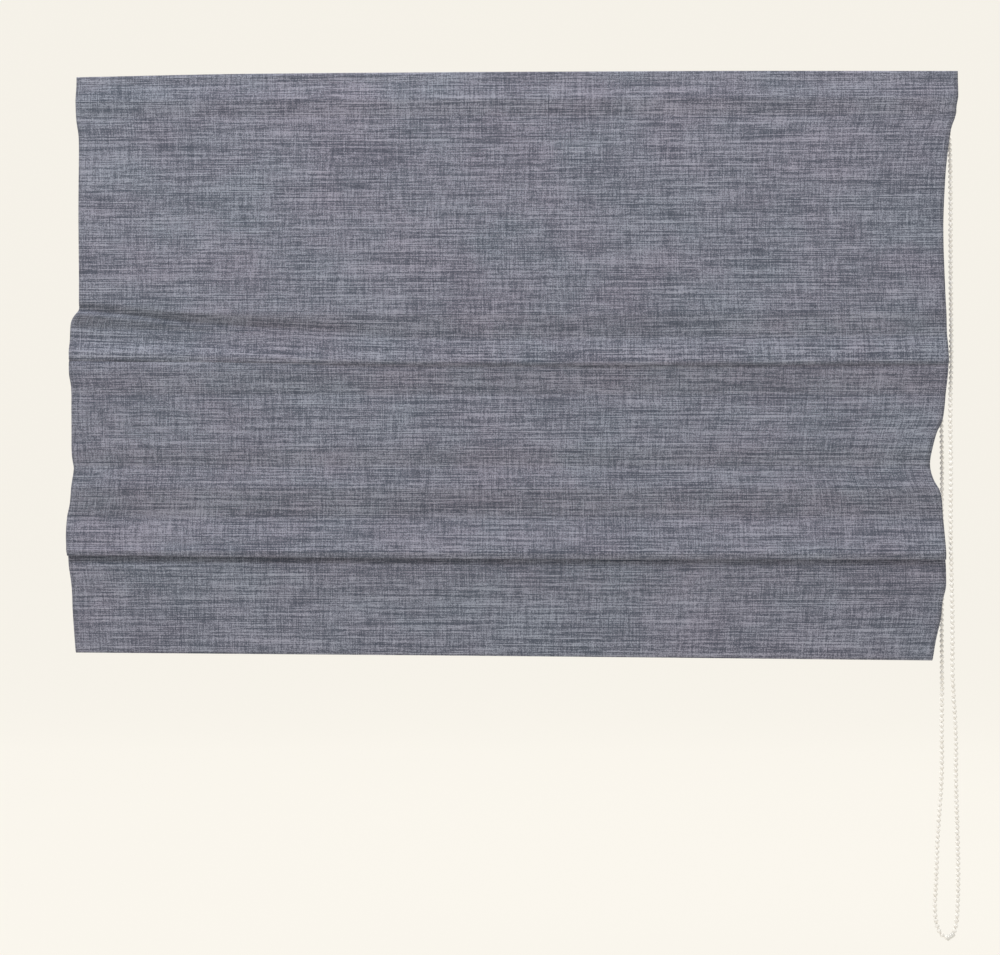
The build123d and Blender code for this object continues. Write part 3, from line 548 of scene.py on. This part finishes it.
# The connector: a small barrel of clear polycarbonate that snaps over the two end balls.
# Polished mould, so glossy and clear, with a faint warm tone in its thickness.
clear_plastic, tree, shader = new_material(
    "clear_polycarbonate", Roughness=0.12, IOR=1.58, Transmission_Weight=0.15
)
haze = laid_pattern(tree, "ShaderNodeTexNoise", Scale=260.0, Detail=2.0)
patterned(tree, shader, (haze, "#f1efe9", "#fbfaf6"), relief=(haze, 0.08, 0.00005))
finish_nodes(clear_plastic, ["chain_connector"])

# ------------------------ cloth
# One piece of slub-woven polyester linen, blue-grey with violet-grey slubs, cut about 1 m wide. Its
# side edges are turned back 22 mm, and it drops in three panels with a soft fold below each rod.

CLOTH_THICK = 0.0007
SIDE_HEM = 0.022
CLOTH_TOP, DROP = 0.022, 0.6619
UPPER, LOWER = 0.316, 0.538  # drops of the two rods below the cloth's top edge
FRONT_Y, CREASE_Y, HEM_Y, HEM_BACK_Y, HEM_HIGH = -0.0508, -0.0355, -0.0375, -0.0325, 0.032
# The cloth's middle line from top edge to hem: distance from the wall, drop, and bend radius.
STEPS = [
    (FRONT_Y, 0.0, None),
    (FRONT_Y, 0.012, 0.020),
    (FRONT_Y - 0.0028, 0.031, 0.007),
    (FRONT_Y + 0.0012, 0.050, 0.010),
    (FRONT_Y - 0.0024, 0.120, 0.080),
    (FRONT_Y - 0.0040, 0.190, 0.300),
    (FRONT_Y - 0.0062, UPPER - 0.041, 0.026),
    (FRONT_Y - 0.0006, UPPER - 0.013, 0.012),
    (FRONT_Y - 0.0054, UPPER + 0.009, 0.005),
    (FRONT_Y - 0.0026, UPPER + 0.017, 0.003),
    (CREASE_Y, UPPER - 0.016, 0.0012),
    (CREASE_Y, UPPER - 0.004, 0.006),
    (CREASE_Y - 0.0178, UPPER + 0.013, 0.004),
    (CREASE_Y - 0.0170, UPPER + 0.023, 0.008),
    (CREASE_Y - 0.0106, UPPER + 0.050, 0.012),
    (CREASE_Y - 0.0140, UPPER + 0.110, 0.040),
    (CREASE_Y - 0.0090, UPPER + 0.132, 0.016),
    (CREASE_Y - 0.0118, UPPER + 0.156, 0.016),
    (CREASE_Y - 0.0036, UPPER + 0.190, 0.018),
    (CREASE_Y - 0.0115, LOWER + 0.006, 0.0024),
    (CREASE_Y - 0.0080, LOWER + 0.017, 0.0024),
    (CREASE_Y, LOWER - 0.016, 0.0012),
    (CREASE_Y, LOWER - 0.002, 0.012),
    (HEM_Y - 0.0032, LOWER + 0.023, 0.012),
    (HEM_Y, LOWER + 0.062, 0.060),
    (HEM_Y, DROP, 0.0022),
    (HEM_BACK_Y, DROP, 0.0022),
    (HEM_BACK_Y, DROP - HEM_HIGH + 0.005, 0.003),
    (HEM_Y + 0.0010, DROP - HEM_HIGH, None),
]


def rounded(steps, spacing):
    """The route with an arc at each corner, as (y, drop) points no further apart than spacing."""
    line = [Vector(steps[0][:2])]
    for before, (y, drop, radius), after in zip(steps, steps[1:], steps[2:]):
        corner = Vector((y, drop))
        back, on = Vector(before[:2]) - corner, Vector(after[:2]) - corner
        half = back.angle(on) / 2
        reach = min(radius / math.tan(half), 0.48 * back.length, 0.48 * on.length)
        radius = reach * math.tan(half)
        start, end = corner + reach * back.normalized(), corner + reach * on.normalized()
        middle = corner + (back.normalized() + on.normalized()).normalized() * (radius / math.sin(half))
        count = max(3, int((math.pi - 2 * half) / math.radians(18)), int((start - end).length / spacing))
        turn = (start - middle).angle_signed(end - middle)
        for step in range(count + 1):
            angle = -turn * step / count
            arm, cosine, sine = start - middle, math.cos(angle), math.sin(angle)
            line.append(middle + Vector((arm.x * cosine - arm.y * sine, arm.x * sine + arm.y * cosine)))
    line.append(Vector(steps[-1][:2]))
    filled = [line[0]]
    for a, b in zip(line, line[1:]):
        gap = (b - a).length
        if gap < 1e-6:
            continue
        pieces = max(1, math.ceil(gap / spacing))
        filled += [a.lerp(b, (k + 1) / pieces) for k in range(pieces)]
    return filled


cloth_line = rounded(STEPS, 0.005)
run_at = [0.0]
for a, b in zip(cloth_line, cloth_line[1:]):
    run_at.append(run_at[-1] + (b - a).length)
normals = []
for i in range(len(cloth_line)):
    along = cloth_line[min(i + 1, len(cloth_line) - 1)] - cloth_line[max(i - 1, 0)]
    normals.append(Vector((along.y, -along.x)).normalized())


def row_of(pick, low, high):
    """The cloth's deepest row (pick is max) or its highest (min) in a range of runs down its line."""
    rows = [i for i, run in enumerate(run_at) if low <= run <= high]
    return pick(rows, key=lambda i: cloth_line[i].y)


# The rows at each fold's bottom, at the crease behind it, where its two sides meet, and at the foot.
bottom_1 = row_of(max, 0.30, 0.36)
crease_1 = row_of(min, run_at[bottom_1] + 0.01, run_at[bottom_1] + 0.05)
bottom_2 = row_of(max, run_at[crease_1] + 0.2, run_at[crease_1] + 0.28)
crease_2 = row_of(min, run_at[bottom_2] + 0.01, run_at[bottom_2] + 0.04)
under_1 = next(i for i in range(bottom_1, crease_1) if run_at[i] - run_at[bottom_1] > 0.007)
under_2 = next(i for i in range(bottom_2, crease_2) if run_at[i] - run_at[bottom_2] > 0.005)
foot = row_of(max, run_at[crease_2] + 0.05, run_at[-1])
last_row = len(cloth_line) - 1

# How far the two side edges stand out from the cut, by drop: the hems pull in and flare a little.
LEFT_EDGE = [
    (0.0, 0.0), (0.050, 0.0), (0.073, 0.003), (0.160, 0.0035), (0.255, 0.0045),
    (0.274, 0.0028), (0.287, -0.0033), (0.300, -0.0070), (0.341, -0.0078), (0.357, -0.0058),
    (0.436, -0.0060), (0.450, -0.0045), (0.463, -0.0060), (0.490, -0.0095), (0.506, -0.0135),
    (0.532, -0.0138), (0.558, -0.0117), (0.585, -0.0085), (0.612, -0.0076), (0.662, -0.0040),
]
RIGHT_EDGE = [
    (0.0, 0.018), (0.030, 0.018), (0.043, 0.0162), (0.052, 0.0156), (0.065, 0.0110),
    (0.080, 0.0085), (0.100, 0.0058), (0.125, 0.0035), (0.180, 0.0012), (0.250, 0.0030),
    (0.290, 0.0050), (0.325, 0.0072), (0.355, 0.0060), (0.395, 0.0015), (0.410, -0.0055),
    (0.436, -0.0117), (0.450, -0.0117), (0.463, -0.0080), (0.477, -0.0005), (0.504, 0.0034),
    (0.532, 0.0052), (0.572, 0.0070), (0.585, 0.0070), (0.600, 0.0036), (0.620, 0.0015),
    (0.640, -0.0030), (0.662, -0.0080),
]
CUT_LEFT, CUT_RIGHT = -0.500, 0.482


def between(table, at):
    """A value on the smooth curve through a table of (place, value) pairs."""
    if at <= table[0][0]:
        return table[0][1]
    if at >= table[-1][0]:
        return table[-1][1]
    i = bisect.bisect_right([place for place, _ in table], at) - 1

    def slope(k):
        before, after = table[max(k - 1, 0)], table[min(k + 1, len(table) - 1)]
        return (after[1] - before[1]) / (after[0] - before[0])

    (a, low), (b, high) = table[i], table[i + 1]
    wide = b - a
    t = (at - a) / wide
    return (
        (2 * t**3 - 3 * t**2 + 1) * low
        + (t**3 - 2 * t**2 + t) * wide * slope(i)
        + (3 * t**2 - 2 * t**3) * high
        + (t**3 - t**2) * wide * slope(i + 1)
    )


def hump(at, centre, width):
    """1 at the centre, falling smoothly to 0 at width on either side."""
    t = min(1.0, abs(at - centre) / width)
    return 1 - t * t * (3 - 2 * t)


def across(share, drop):
    """How far along X a share of the width is at a drop. The edges' flare dies out towards the middle."""
    left, right = between(LEFT_EDGE, drop), between(RIGHT_EDGE, drop)
    return CUT_LEFT + (CUT_RIGHT - CUT_LEFT) * share + left * (1 - share) ** 5 + right * share**5


# How each fold's shape changes across the width: pairs of X and metres, or a share for the flatter left.
VALLEY_SHIFT = [(-0.5, 0.014), (-0.34, 0.008), (-0.18, 0.001), (0.0, 0.0), (0.5, 0.003)]
VALLEY_DEPTH = [(-0.5, 0.0026), (-0.3, 0.0016), (-0.1, 0.0), (0.5, 0.0)]
LEFT_FLATTER = [(-0.5, 1.0), (-0.35, 0.7), (-0.1, 0.0)]
BELLY_SAG = [(-0.5, -0.003), (-0.3, 0.0), (0.0, 0.004), (0.5, 0.004)]
FOOT_SAG = [(-0.5, -0.001), (0.0, 0.002), (0.5, 0.006)]
PLEAT_RUN = [(-0.5, 0.270), (-0.43, 0.279), (-0.345, 0.289), (-0.27, 0.2925), (-0.15, 0.298)]
PLEAT_DEPTH = [(-0.5, 0.0050), (-0.36, 0.0046), (-0.25, 0.0028), (-0.12, 0.0)]
TOP_TUCK = [(-0.5, -0.0018), (-0.2, -0.0006), (0.0, 0.0), (0.5, 0.0)]
TOP_DROOP = [(-0.5, 0.0035), (-0.3, 0.0005), (0.2, 0.0), (0.5, 0.0015)]
# Sags: a table, the run at which it is strongest, how far it reaches either way, and its share.
SAGS = [
    (BELLY_SAG, run_at[bottom_1] - 0.006, 0.012, 1.0),
    (BELLY_SAG, run_at[bottom_2] - 0.004, 0.010, 0.7),
    (FOOT_SAG, run_at[foot], 0.020, 1.0),
    (TOP_DROOP, 0.0, 0.030, 1.0),
]
# What flattens the folds' left end: metres towards the wall, the run at its middle, and its reach.
FLATTERS = [
    (0.0035, run_at[bottom_1] - 0.014, 0.014),
    (-0.0046, run_at[crease_1] + 0.075, 0.055),
    (0.0025, run_at[bottom_2] - 0.012, 0.012),
]
VALLEY_SHIFT_AT, VALLEY_AT, TUCK_AT = (0.308, 0.048), (0.306, 0.032), (0.050, 0.035)  # run and reach
PLEAT_REACH = 0.010
CREASE_HOLD = 0.030  # this far past a crease the cloth hangs freely
WAVE, RIPPLE = 0.0011, 0.0006  # the unevenness of hanging cloth, long and short
CURL_LEFT, CURL_RIGHT, CURL_WIDE = 0.0016, 0.0010, 0.035  # the side edges' curl, as a share wide
RAIL_RUN = 0.055  # down to here the cloth lies on the rail and the drive case, so it can't go back
LYING_BACK, FREE_BACK, FREE_OVER = 0.0003, 0.0075, 0.15  # how far back it may go, and its growth
OFF_RAIL = 0.0004  # and it stands this far off them


def still(row):
    """0 at the creases and at the panels' shared lines, rising to 1 well away from them."""
    gap = min(abs(run_at[row] - run_at[i]) for i in (under_1, crease_1, under_2, crease_2))
    t = min(1.0, gap / CREASE_HOLD)
    return t * t * (3 - 2 * t)


def cloth_place(share, row, offset):
    """The place of a cloth point: a share of the width across, a row down the line and an offset off
    the cloth's middle."""
    y, drop = cloth_line[row] + offset * normals[row]
    x = across(share, drop)
    run = run_at[row]
    free = still(row)
    z_shift = between(VALLEY_SHIFT, x) * hump(run, *VALLEY_SHIFT_AT) * free
    for table, centre, reach, part in SAGS:
        z_shift -= part * between(table, x) * hump(run, centre, reach)
    waves = WAVE * noise.noise((x * 4.0, run * 5.0, 3.1))
    waves += RIPPLE * noise.noise((x * 11.0, run * 12.0, 8.4))
    if run > run_at[crease_2]:
        waves *= 0.5 * max(0.0, 1 - (run - run_at[crease_2]) / 0.09)
    near_rail = min(1.0, run / 0.05)
    edge_curl = CURL_LEFT * hump(share, 0.0, CURL_WIDE) - CURL_RIGHT * hump(share, 1.0, CURL_WIDE)
    valley = between(VALLEY_DEPTH, x) * hump(run, *VALLEY_AT)
    valley += between(PLEAT_DEPTH, x) * hump(run, between(PLEAT_RUN, x), PLEAT_REACH)
    valley += between(TOP_TUCK, x) * hump(run, *TUCK_AT)
    for deep, centre, reach in FLATTERS:
        valley += deep * between(LEFT_FLATTER, x) * hump(run, centre, reach)
    y_shift = (waves + valley - edge_curl * hump(run, 0.2, 0.3)) * free * near_rail
    if run < run_at[bottom_1]:
        most = LYING_BACK + FREE_BACK * min(1.0, max(0.0, run - RAIL_RUN) / FREE_OVER)
        y_shift = min(y_shift, most) - OFF_RAIL * near_rail * free
    return Vector((x, y + y_shift, CLOTH_TOP - drop + z_shift))


# Slub-woven polyester linen: matt. Fine upright warp of blue-grey, and a weft of uneven slubs that
# run from slate to pale lilac-grey, 20 to 150 mm long and one thread high. Real threads are about
# 0.5 mm; they are drawn about 1.1 mm so that they show.
slub_weave, tree, shader = new_material(
    "slub_woven_polyester_linen",
    Roughness=0.92,
    Sheen_Weight=0.12,
    Sheen_Roughness=0.6,
    Specular_IOR_Level=0.25,
)
flat = add_node(tree, "ShaderNodeUVMap", {"uv_map": "flat"}).outputs["UV"]


def threads(along, down, detail, seed):
    """Stretched noise on the flat cloth: so many cells a metre along its width and down it."""
    place = (seed, 2.7 * seed, seed)
    laid = add_node(tree, "ShaderNodeMapping", Vector=flat, Scale=(along, down, 1.0), Location=place)
    fibres = {"Scale": 1.0, "Detail": detail, "Roughness": 0.6}
    return add_node(tree, "ShaderNodeTexNoise", Vector=laid.outputs["Vector"], **fibres).outputs["Fac"]


# Each layer of threads and its weight. Every pattern is about 0.5, and so is their weighted sum.
layers = [
    (threads(9.0, 850.0, 2.0, 1.3), 2.1),  # long slubs
    (threads(44.0, 950.0, 1.0, 4.1), 1.3),  # short slubs
    (threads(900.0, 40.0, 1.0, 7.7), 1.1),  # warp
    (threads(1000.0, 1000.0, 1.0, 9.4), 1.9),  # where threads cross
    (threads(12.0, 24.0, 3.0, 2.2), 0.35),  # drift of the dye
]
weave = 0.5
for fibres, weight in layers:
    scaled = {"operation": "MULTIPLY_ADD"}
    part = add_node(tree, "ShaderNodeMath", scaled, i0=fibres, i1=weight, i2=-0.5 * weight)
    weave = add_node(tree, "ShaderNodeMath", {"operation": "ADD"}, i0=part.outputs[0], i1=weave).outputs[0]
ramp = add_node(tree, "ShaderNodeValToRGB", Fac=weave)
tones = ramp.color_ramp.elements
tones[0].position, tones[0].color = 0.10, tint("#4f5460")
tones[1].position, tones[1].color = 0.92, tint("#a1a3af")
middle = tones.new(0.5)
middle.color = tint("#747682")
# Patches of the cloth lean to blue or to violet.
hue = threads(9.0, 13.0, 3.0, 5.5)
lean = add_node(tree, "ShaderNodeMapRange", Value=hue, From_Min=0.35, From_Max=0.65)
cast = add_node(tree, "ShaderNodeValToRGB", Fac=lean.outputs["Result"])
cast.color_ramp.elements[0].color = tint("#f7fcff")
cast.color_ramp.elements[1].color = tint("#fdf8fd")
dyed = {"data_type": "RGBA", "blend_type": "MULTIPLY"}
tone, cast = ramp.outputs["Color"], cast.outputs["Color"]
tinted = add_node(tree, "ShaderNodeMix", dyed, Factor=1.0, i6=tone, i7=cast)
tree.links.new(tinted.outputs[2], shader.inputs["Base Color"])
patterned(tree, shader, relief=(weave, 0.5, 0.0004))


def cloth_panel(name, first, last):
    """One panel of the cloth from row to row: the sheet itself and its turned hems behind its edges."""
    verts, faces, uvs = [], [], []
    columns = 150

    def shell(shares, front, back):
        """A closed strip of cloth across these shares, between two offsets from the middle line."""
        start, wide, rows = len(verts), len(shares), last - first + 1
        for offset in (front, back):
            for row in range(first, last + 1):
                for share in shares:
                    verts.append(cloth_place(share, row, offset))
                    uvs.append((share, run_at[row]) if offset == front else (share, run_at[row] + 1.0))

        def at(row, column):
            """The number of a point of the strip's front."""
            return start + row * wide + column

        def rim(a, b, turned):
            """Closes the edge of the strip between two neighbouring points of its front."""
            faces.append((b, b + back_by, a + back_by, a) if turned else (a, a + back_by, b + back_by, b))

        back_by = rows * wide
        for row in range(rows - 1):
            for column in range(wide - 1):
                a, b = at(row, column), at(row + 1, column)
                c, d = b + 1, a + 1
                faces.append((a, b, c, d))
                faces.append((a + back_by, d + back_by, c + back_by, b + back_by))
        for row in range(rows - 1):
            for column, turned in ((0, False), (wide - 1, True)):
                rim(at(row, column), at(row + 1, column), turned)
        for column in range(wide - 1):
            for row, turned in ((0, True), (rows - 1, False)):
                rim(at(row, column), at(row, column + 1), turned)

    half = CLOTH_THICK / 2
    shell([i / columns for i in range(columns + 1)], -half, half)
    hem_share = SIDE_HEM / (CUT_RIGHT - CUT_LEFT)
    for start_share in (0.0, 1.0 - hem_share):
        shell([start_share + hem_share * i / 4 for i in range(5)], half, half + CLOTH_THICK)
    made = add_piece(name, verts, faces, slub_weave, uvs)
    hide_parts("fabric")
    return made


SHARED = 0.45  # how far along each bend's span the two sides of a fold meet; no bend is made
drop_1, top_1 = cloth_line[under_1].y, cloth_line[crease_1].y
drop_2, top_2 = cloth_line[under_2].y, cloth_line[crease_2].y
FRONT_FROM_1, FRONT_FROM_2 = 0.115, 0.395  # drops at which a bend of the folds' fronts would begin; no bend is made
# Each panel: its name, first and last row, what it rests on, and two bodies with the drops at which a bend
# between them would start and end. No bend is made: such a panel is only baked in place. The last panel
# rides on the hem's body.
PANELS = [
    ("top_panel", 0, under_1, "loop_tape", "rail", "upper_fold",
     FRONT_FROM_1, FRONT_FROM_1 + (drop_1 - FRONT_FROM_1) / SHARED),
    ("upper_fold_back", under_1, crease_1, "rod_sleeve_upper", "rail", "upper_fold",
     drop_1 + SHARED / (1 - SHARED) * (drop_1 - top_1), top_1),
    ("middle_panel", crease_1, under_2, "rod_sleeve_upper", "upper_fold", "hem_section",
     FRONT_FROM_2, FRONT_FROM_2 + (drop_2 - FRONT_FROM_2) / SHARED),
    ("lower_fold_back", under_2, crease_2, "rod_sleeve_lower", "upper_fold", "hem_section",
     drop_2 + SHARED / (1 - SHARED) * (drop_2 - top_2), top_2),
    ("hem_panel", crease_2, last_row, "rod_sleeve_lower", "hem_section"),
]


def hang(made, above, below=None, start=None, end=None):
    """Lets a piece of a panel ride on one body. A piece given a second body is only baked in place; start
    and end are not used.
    """
    if below is None:
        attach(made, above)
    else:
        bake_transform(made)


for name, first, last, support, *bend in PANELS:
    panel = cloth_panel(f"cloth_{name}", first, last)
    hang(panel, *bend)

# ------------------------ rod sleeves, rods and rings
# Behind each fold a tunnel of woven tape is sewn to the cloth's crease. It holds a glass-fibre rod
# with a soft cap on each end, and three clear rings on it guide the lift cords.

# Pultruded glass fibre: pale straw, satin, with the strands just visible along the rod.
glass_fibre, tree, shader = new_material("pultruded_glass_fibre", Roughness=0.4, IOR=1.52)
strand = laid_pattern(tree, "ShaderNodeTexNoise", stretch=(6.0, 2600.0, 2600.0), Scale=1.0, Detail=2.0)
patterned(tree, shader, (strand, "#dcd7c4", "#efecdf"), (strand, 0.32, 0.5), (strand, 0.3, 0.00005))
finish_nodes(glass_fibre, ["rod_upper", "rod_lower"])
finish_nodes(white_nylon, ["rod_caps_upper", "rod_caps_lower"])
finish_nodes(clear_plastic, ["rings_upper", "rings_lower", "cord_orbs"])


def sewing_thread(name, dark, light):
    """Spun polyester sewing thread: a little lustre along each stitch. Its twist is drawn 2.4 mm long,
    several times the real one, so that it shows."""
    made, tree, shader = new_material(name, Roughness=0.6, Sheen_Weight=0.3)
    twist = laid_pattern(tree, "ShaderNodeTexWave", settings={"bands_direction": "DIAGONAL"}, Scale=260.0)
    patterned(tree, shader, (twist, dark, light, 0.0, 1.0), relief=(twist, 0.4, 0.0001))
    return made


# Off-white thread, for the sleeves' seams.
tape_thread = sewing_thread("spun_polyester_thread", "#d9d8d2", "#f3f2ec")

# One tree for every row of stitches: a line is cut at the stitch pitch, and each cut gets one slim
# rounded stitch that lies along the line.
stitch_tree, given, result = add_tree("stitch_row", ["Pitch", "Length", "Width"])
row = add_node(stitch_tree, "GeometryNodeMeshToCurve", Mesh=given["Geometry"])
bead = add_node(stitch_tree, "GeometryNodeMeshUVSphere", Segments=6, Rings=4, Radius=0.5)
slim = add_node(stitch_tree, "ShaderNodeCombineXYZ", X=given["Width"], Y=given["Width"], Z=given["Length"])
stitch = add_node(
    stitch_tree, "GeometryNodeTransform", Geometry=bead.outputs["Mesh"], Scale=slim.outputs["Vector"]
)
sewn = strung(stitch_tree, row.outputs["Curve"], "LENGTH", stitch.outputs["Geometry"], Length=given["Pitch"])
finish_tree(stitch_tree, result, sewn, tape_thread)
STITCH_PITCH, STITCH_LENGTH, STITCH_WIDTH = 0.0034, 0.0027, 0.0006


def stitch_rows(name, rows, sewn_with):
    """Rows of machine stitches, each row a list of points that it follows."""
    verts, edges = [], []
    for points in rows:
        edges += [(len(verts) + i, len(verts) + i + 1) for i in range(len(points) - 1)]
        verts += points
    sizes = {"Pitch": STITCH_PITCH, "Length": STITCH_LENGTH, "Width": STITCH_WIDTH}
    made = grown(name, verts, edges, stitch_tree, sizes)
    made.data.materials[0] = sewn_with
    return made


TAPE_THICK = 0.0006
SEAM_IN, SEAM_UP = 0.004, 0.0022  # the seam starts this far from the tape's end, above its lower edge
for level, body in (("upper", "upper_fold"), ("lower", "hem_section")):
    low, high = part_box(f"rod_sleeve_{level}")
    rod_low, rod_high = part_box(f"rod_{level}")
    rod_y, rod_z = (rod_low[1] + rod_high[1]) / 2, (rod_low[2] + rod_high[2]) / 2
    # The tape's line in section: up the cloth, round the rod by 20 degree steps, and back down.
    middle_radius = high[1] - rod_y - TAPE_THICK / 2
    outline = [(low[1] + TAPE_THICK / 2, low[2]), (low[1] + TAPE_THICK / 2, low[2] + 0.003)]
    for step in range(19):
        turn = math.radians(215 - 20 * step)
        y, z = rod_y + middle_radius * math.cos(turn), rod_z + middle_radius * math.sin(turn)
        if y > low[1] + TAPE_THICK * 0.2:
            outline.append((y, z))
    columns = 120
    verts, faces, uvs = [], [], []
    count = len(outline)
    for i in range(columns + 1):
        x = low[0] + (high[0] - low[0]) * i / columns
        stray = 0.0002 * noise.noise((x * 45.0, 2.0, 5.0))
        for side in (-1, 1):
            run = 0.0
            for k, (y, z) in enumerate(outline):
                ahead = Vector(outline[min(k + 1, count - 1)]) - Vector(outline[max(k - 1, 0)])
                off = Vector((-ahead.y, ahead.x)).normalized() * (side * TAPE_THICK / 2)
                if k:
                    run += (Vector(outline[k]) - Vector(outline[k - 1])).length
                verts.append((x, y + off.x, z + off.y + stray))
                uvs.append((x, run))
    ring = 2 * count
    for i in range(columns):
        a = ring * i
        for k in range(count - 1):
            faces.append((a + k, a + k + 1, a + ring + k + 1, a + ring + k))
            faces.append((a + count + k, a + ring + count + k, a + ring + count + k + 1, a + count + k + 1))
        faces.append((a, a + ring, a + ring + count, a + count))
        faces.append((a + count - 1, a + 2 * count - 1, a + ring + 2 * count - 1, a + ring + count - 1))
    for a in (0, ring * columns):
        for k in range(count - 1):
            faces.append((a + k, a + k + 1, a + count + k + 1, a + count + k))
    sleeve = add_piece(f"rod_sleeve_tape_{level}", verts, faces, woven_tape, uvs)
    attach(sleeve, body)
    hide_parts(f"rod_sleeve_{level}")
    seam_run = high[0] - low[0] - 2 * SEAM_IN
    seam_line = [
        (low[0] + SEAM_IN + seam_run * i / 60, low[1] + TAPE_THICK, low[2] + SEAM_UP) for i in range(61)
    ]
    seam = stitch_rows(f"rod_sleeve_stitches_{level}", [seam_line], tape_thread)
    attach(seam, body)

# ------------------------ bottom bar and hem stitches
# A flat bar in the bottom hem keeps it straight, with a moulded cap on each end. The hem is turned up
# behind the cloth and closed with one row of stitches.

# Mill-finish aluminium: soft grey, brushed along its length by the rolling.
mill_aluminium, tree, shader = new_material("mill_finish_aluminium", Metallic=1.0, Roughness=0.4)
rolling = laid_pattern(tree, "ShaderNodeTexNoise", stretch=(10.0, 1300.0, 1300.0), Scale=1.0, Detail=2.0)
patterned(tree, shader, (rolling, "#bfc2c4", "#d6d8da"), (rolling, 0.34, 0.5), (rolling, 0.3, 0.00004))
finish_nodes(mill_aluminium, ["bottom_bar"])
finish_nodes(white_nylon, ["bar_caps"])

# Slate grey thread, to match the cloth.
cloth_thread = sewing_thread("slate_polyester_thread", "#565a66", "#8b8e9b")

PROUD = 0.0001  # how far a stitch's middle stands off the cloth
hem_seam_row = next(i for i in range(foot, last_row + 1) if cloth_line[i].y < DROP - HEM_HIGH + 0.006)
hem_seam = [cloth_place(i / 120, hem_seam_row, CLOTH_THICK / 2 + PROUD) for i in range(4, 117)]
hem_stitches = stitch_rows("bottom_hem_stitches", [hem_seam], cloth_thread)
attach(hem_stitches, "hem_section")

# Side-hem stitches run down behind both edges, split with the panels they are sewn through and hung as those
# panels are.
turn_in = (SIDE_HEM - 0.003) / (CUT_RIGHT - CUT_LEFT)
for name, first, last, support, *bend in PANELS:
    sewn = range(max(first, 1), min(last, foot - 2) + 1)
    rows = [
        [cloth_place(share, row, 1.5 * CLOTH_THICK + PROUD) for row in sewn]
        for share in (turn_in, 1 - turn_in)
    ]
    seam = stitch_rows(f"side_stitches_{name}", rows, cloth_thread)
    hang(seam, *bend)

# ------------------------ lift cords
# Three braided cords run from the spools down through the upper rod's rings to the lower rod's, where
# each ends in a knot inside its orb. Each is drawn in two lengths, because two joints shorten it.

# Braided polyester lift cord: off-white, 1.2 mm, its crossing strands 1 mm long along the cord.
cord_braid, tree, shader = new_material("braided_polyester_cord", Roughness=0.75, Sheen_Weight=0.25)
braid = crossed_threads(tree, [(8.0 * math.pi, 3000.0), (8.0 * math.pi, -3000.0)])
patterned(tree, shader, (braid, "#c3c1b8", "#efeee8", 0.0, 0.9), relief=(braid, 0.7, 0.0002))


def tube_along(name, points, radius_at, sides, material):
    """A tube round a line of points, with UVs of share round it and metres along it."""
    verts, faces, uvs = [], [], []
    run = 0.0
    forward = (Vector(points[1]) - Vector(points[0])).normalized()
    side = forward.orthogonal().normalized()
    for i, point in enumerate(points):
        ahead = Vector(points[min(i + 1, len(points) - 1)]) - Vector(points[max(i - 1, 0)])
        forward = ahead.normalized()
        side = (side - side.dot(forward) * forward).normalized()
        up = forward.cross(side)
        if i:
            run += (Vector(point) - Vector(points[i - 1])).length
        radius = radius_at(run)
        for k in range(sides):
            turn = 2 * math.pi * k / sides
            verts.append(Vector(point) + radius * (math.cos(turn) * side + math.sin(turn) * up))
            uvs.append((k / sides, run))
    for i in range(len(points) - 1):
        for k in range(sides):
            a, b = sides * i + k, sides * i + (k + 1) % sides
            faces.append((a, b, b + sides, a + sides))
    last = sides * (len(points) - 1)
    faces += [tuple(range(sides))[::-1], tuple(last + k for k in range(sides))]
    return add_piece(name, verts, faces, material, uvs)


KNOT_LONG, KNOT_SWELL = 0.0030, 0.0009  # the knot at a cord's end, and how much thicker it is
ring_low, ring_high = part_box("rings_upper")
ring_z = (ring_low[2] + ring_high[2]) / 2
for side in SIDES:
    low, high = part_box(f"lift_cord_{side}")
    x, y = (low[0] + high[0]) / 2, (low[1] + high[1]) / 2
    for part, start_z, end_z, bodies, ending in (
        ("upper", high[2], ring_z, ("rail", "upper_fold"), "object"),
        ("lower", ring_z, low[2], ("upper_fold", "hem_section"), "knot"),
    ):
        span = start_z - end_z
        control = [(x, y, z) for z in (start_z, start_z - 0.3 * span, start_z - 0.6 * span, end_z)]
        line = smooth_line(control, max(8, int(span / 0.0008) // 3))

        def radius_at(run):
            near_end = span - run
            if ending == "knot" and near_end < KNOT_LONG:
                bulge = math.sin(math.pi * min(1.0, near_end / KNOT_LONG)) ** 0.7
                return CORD_DIAMETER / 2 + KNOT_SWELL * bulge
            return CORD_DIAMETER / 2

        lift = tube_along(f"lift_cord_{part}_{side}", line, radius_at, 10, cord_braid)
        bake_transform(lift)
        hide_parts(f"lift_cord_{side}")
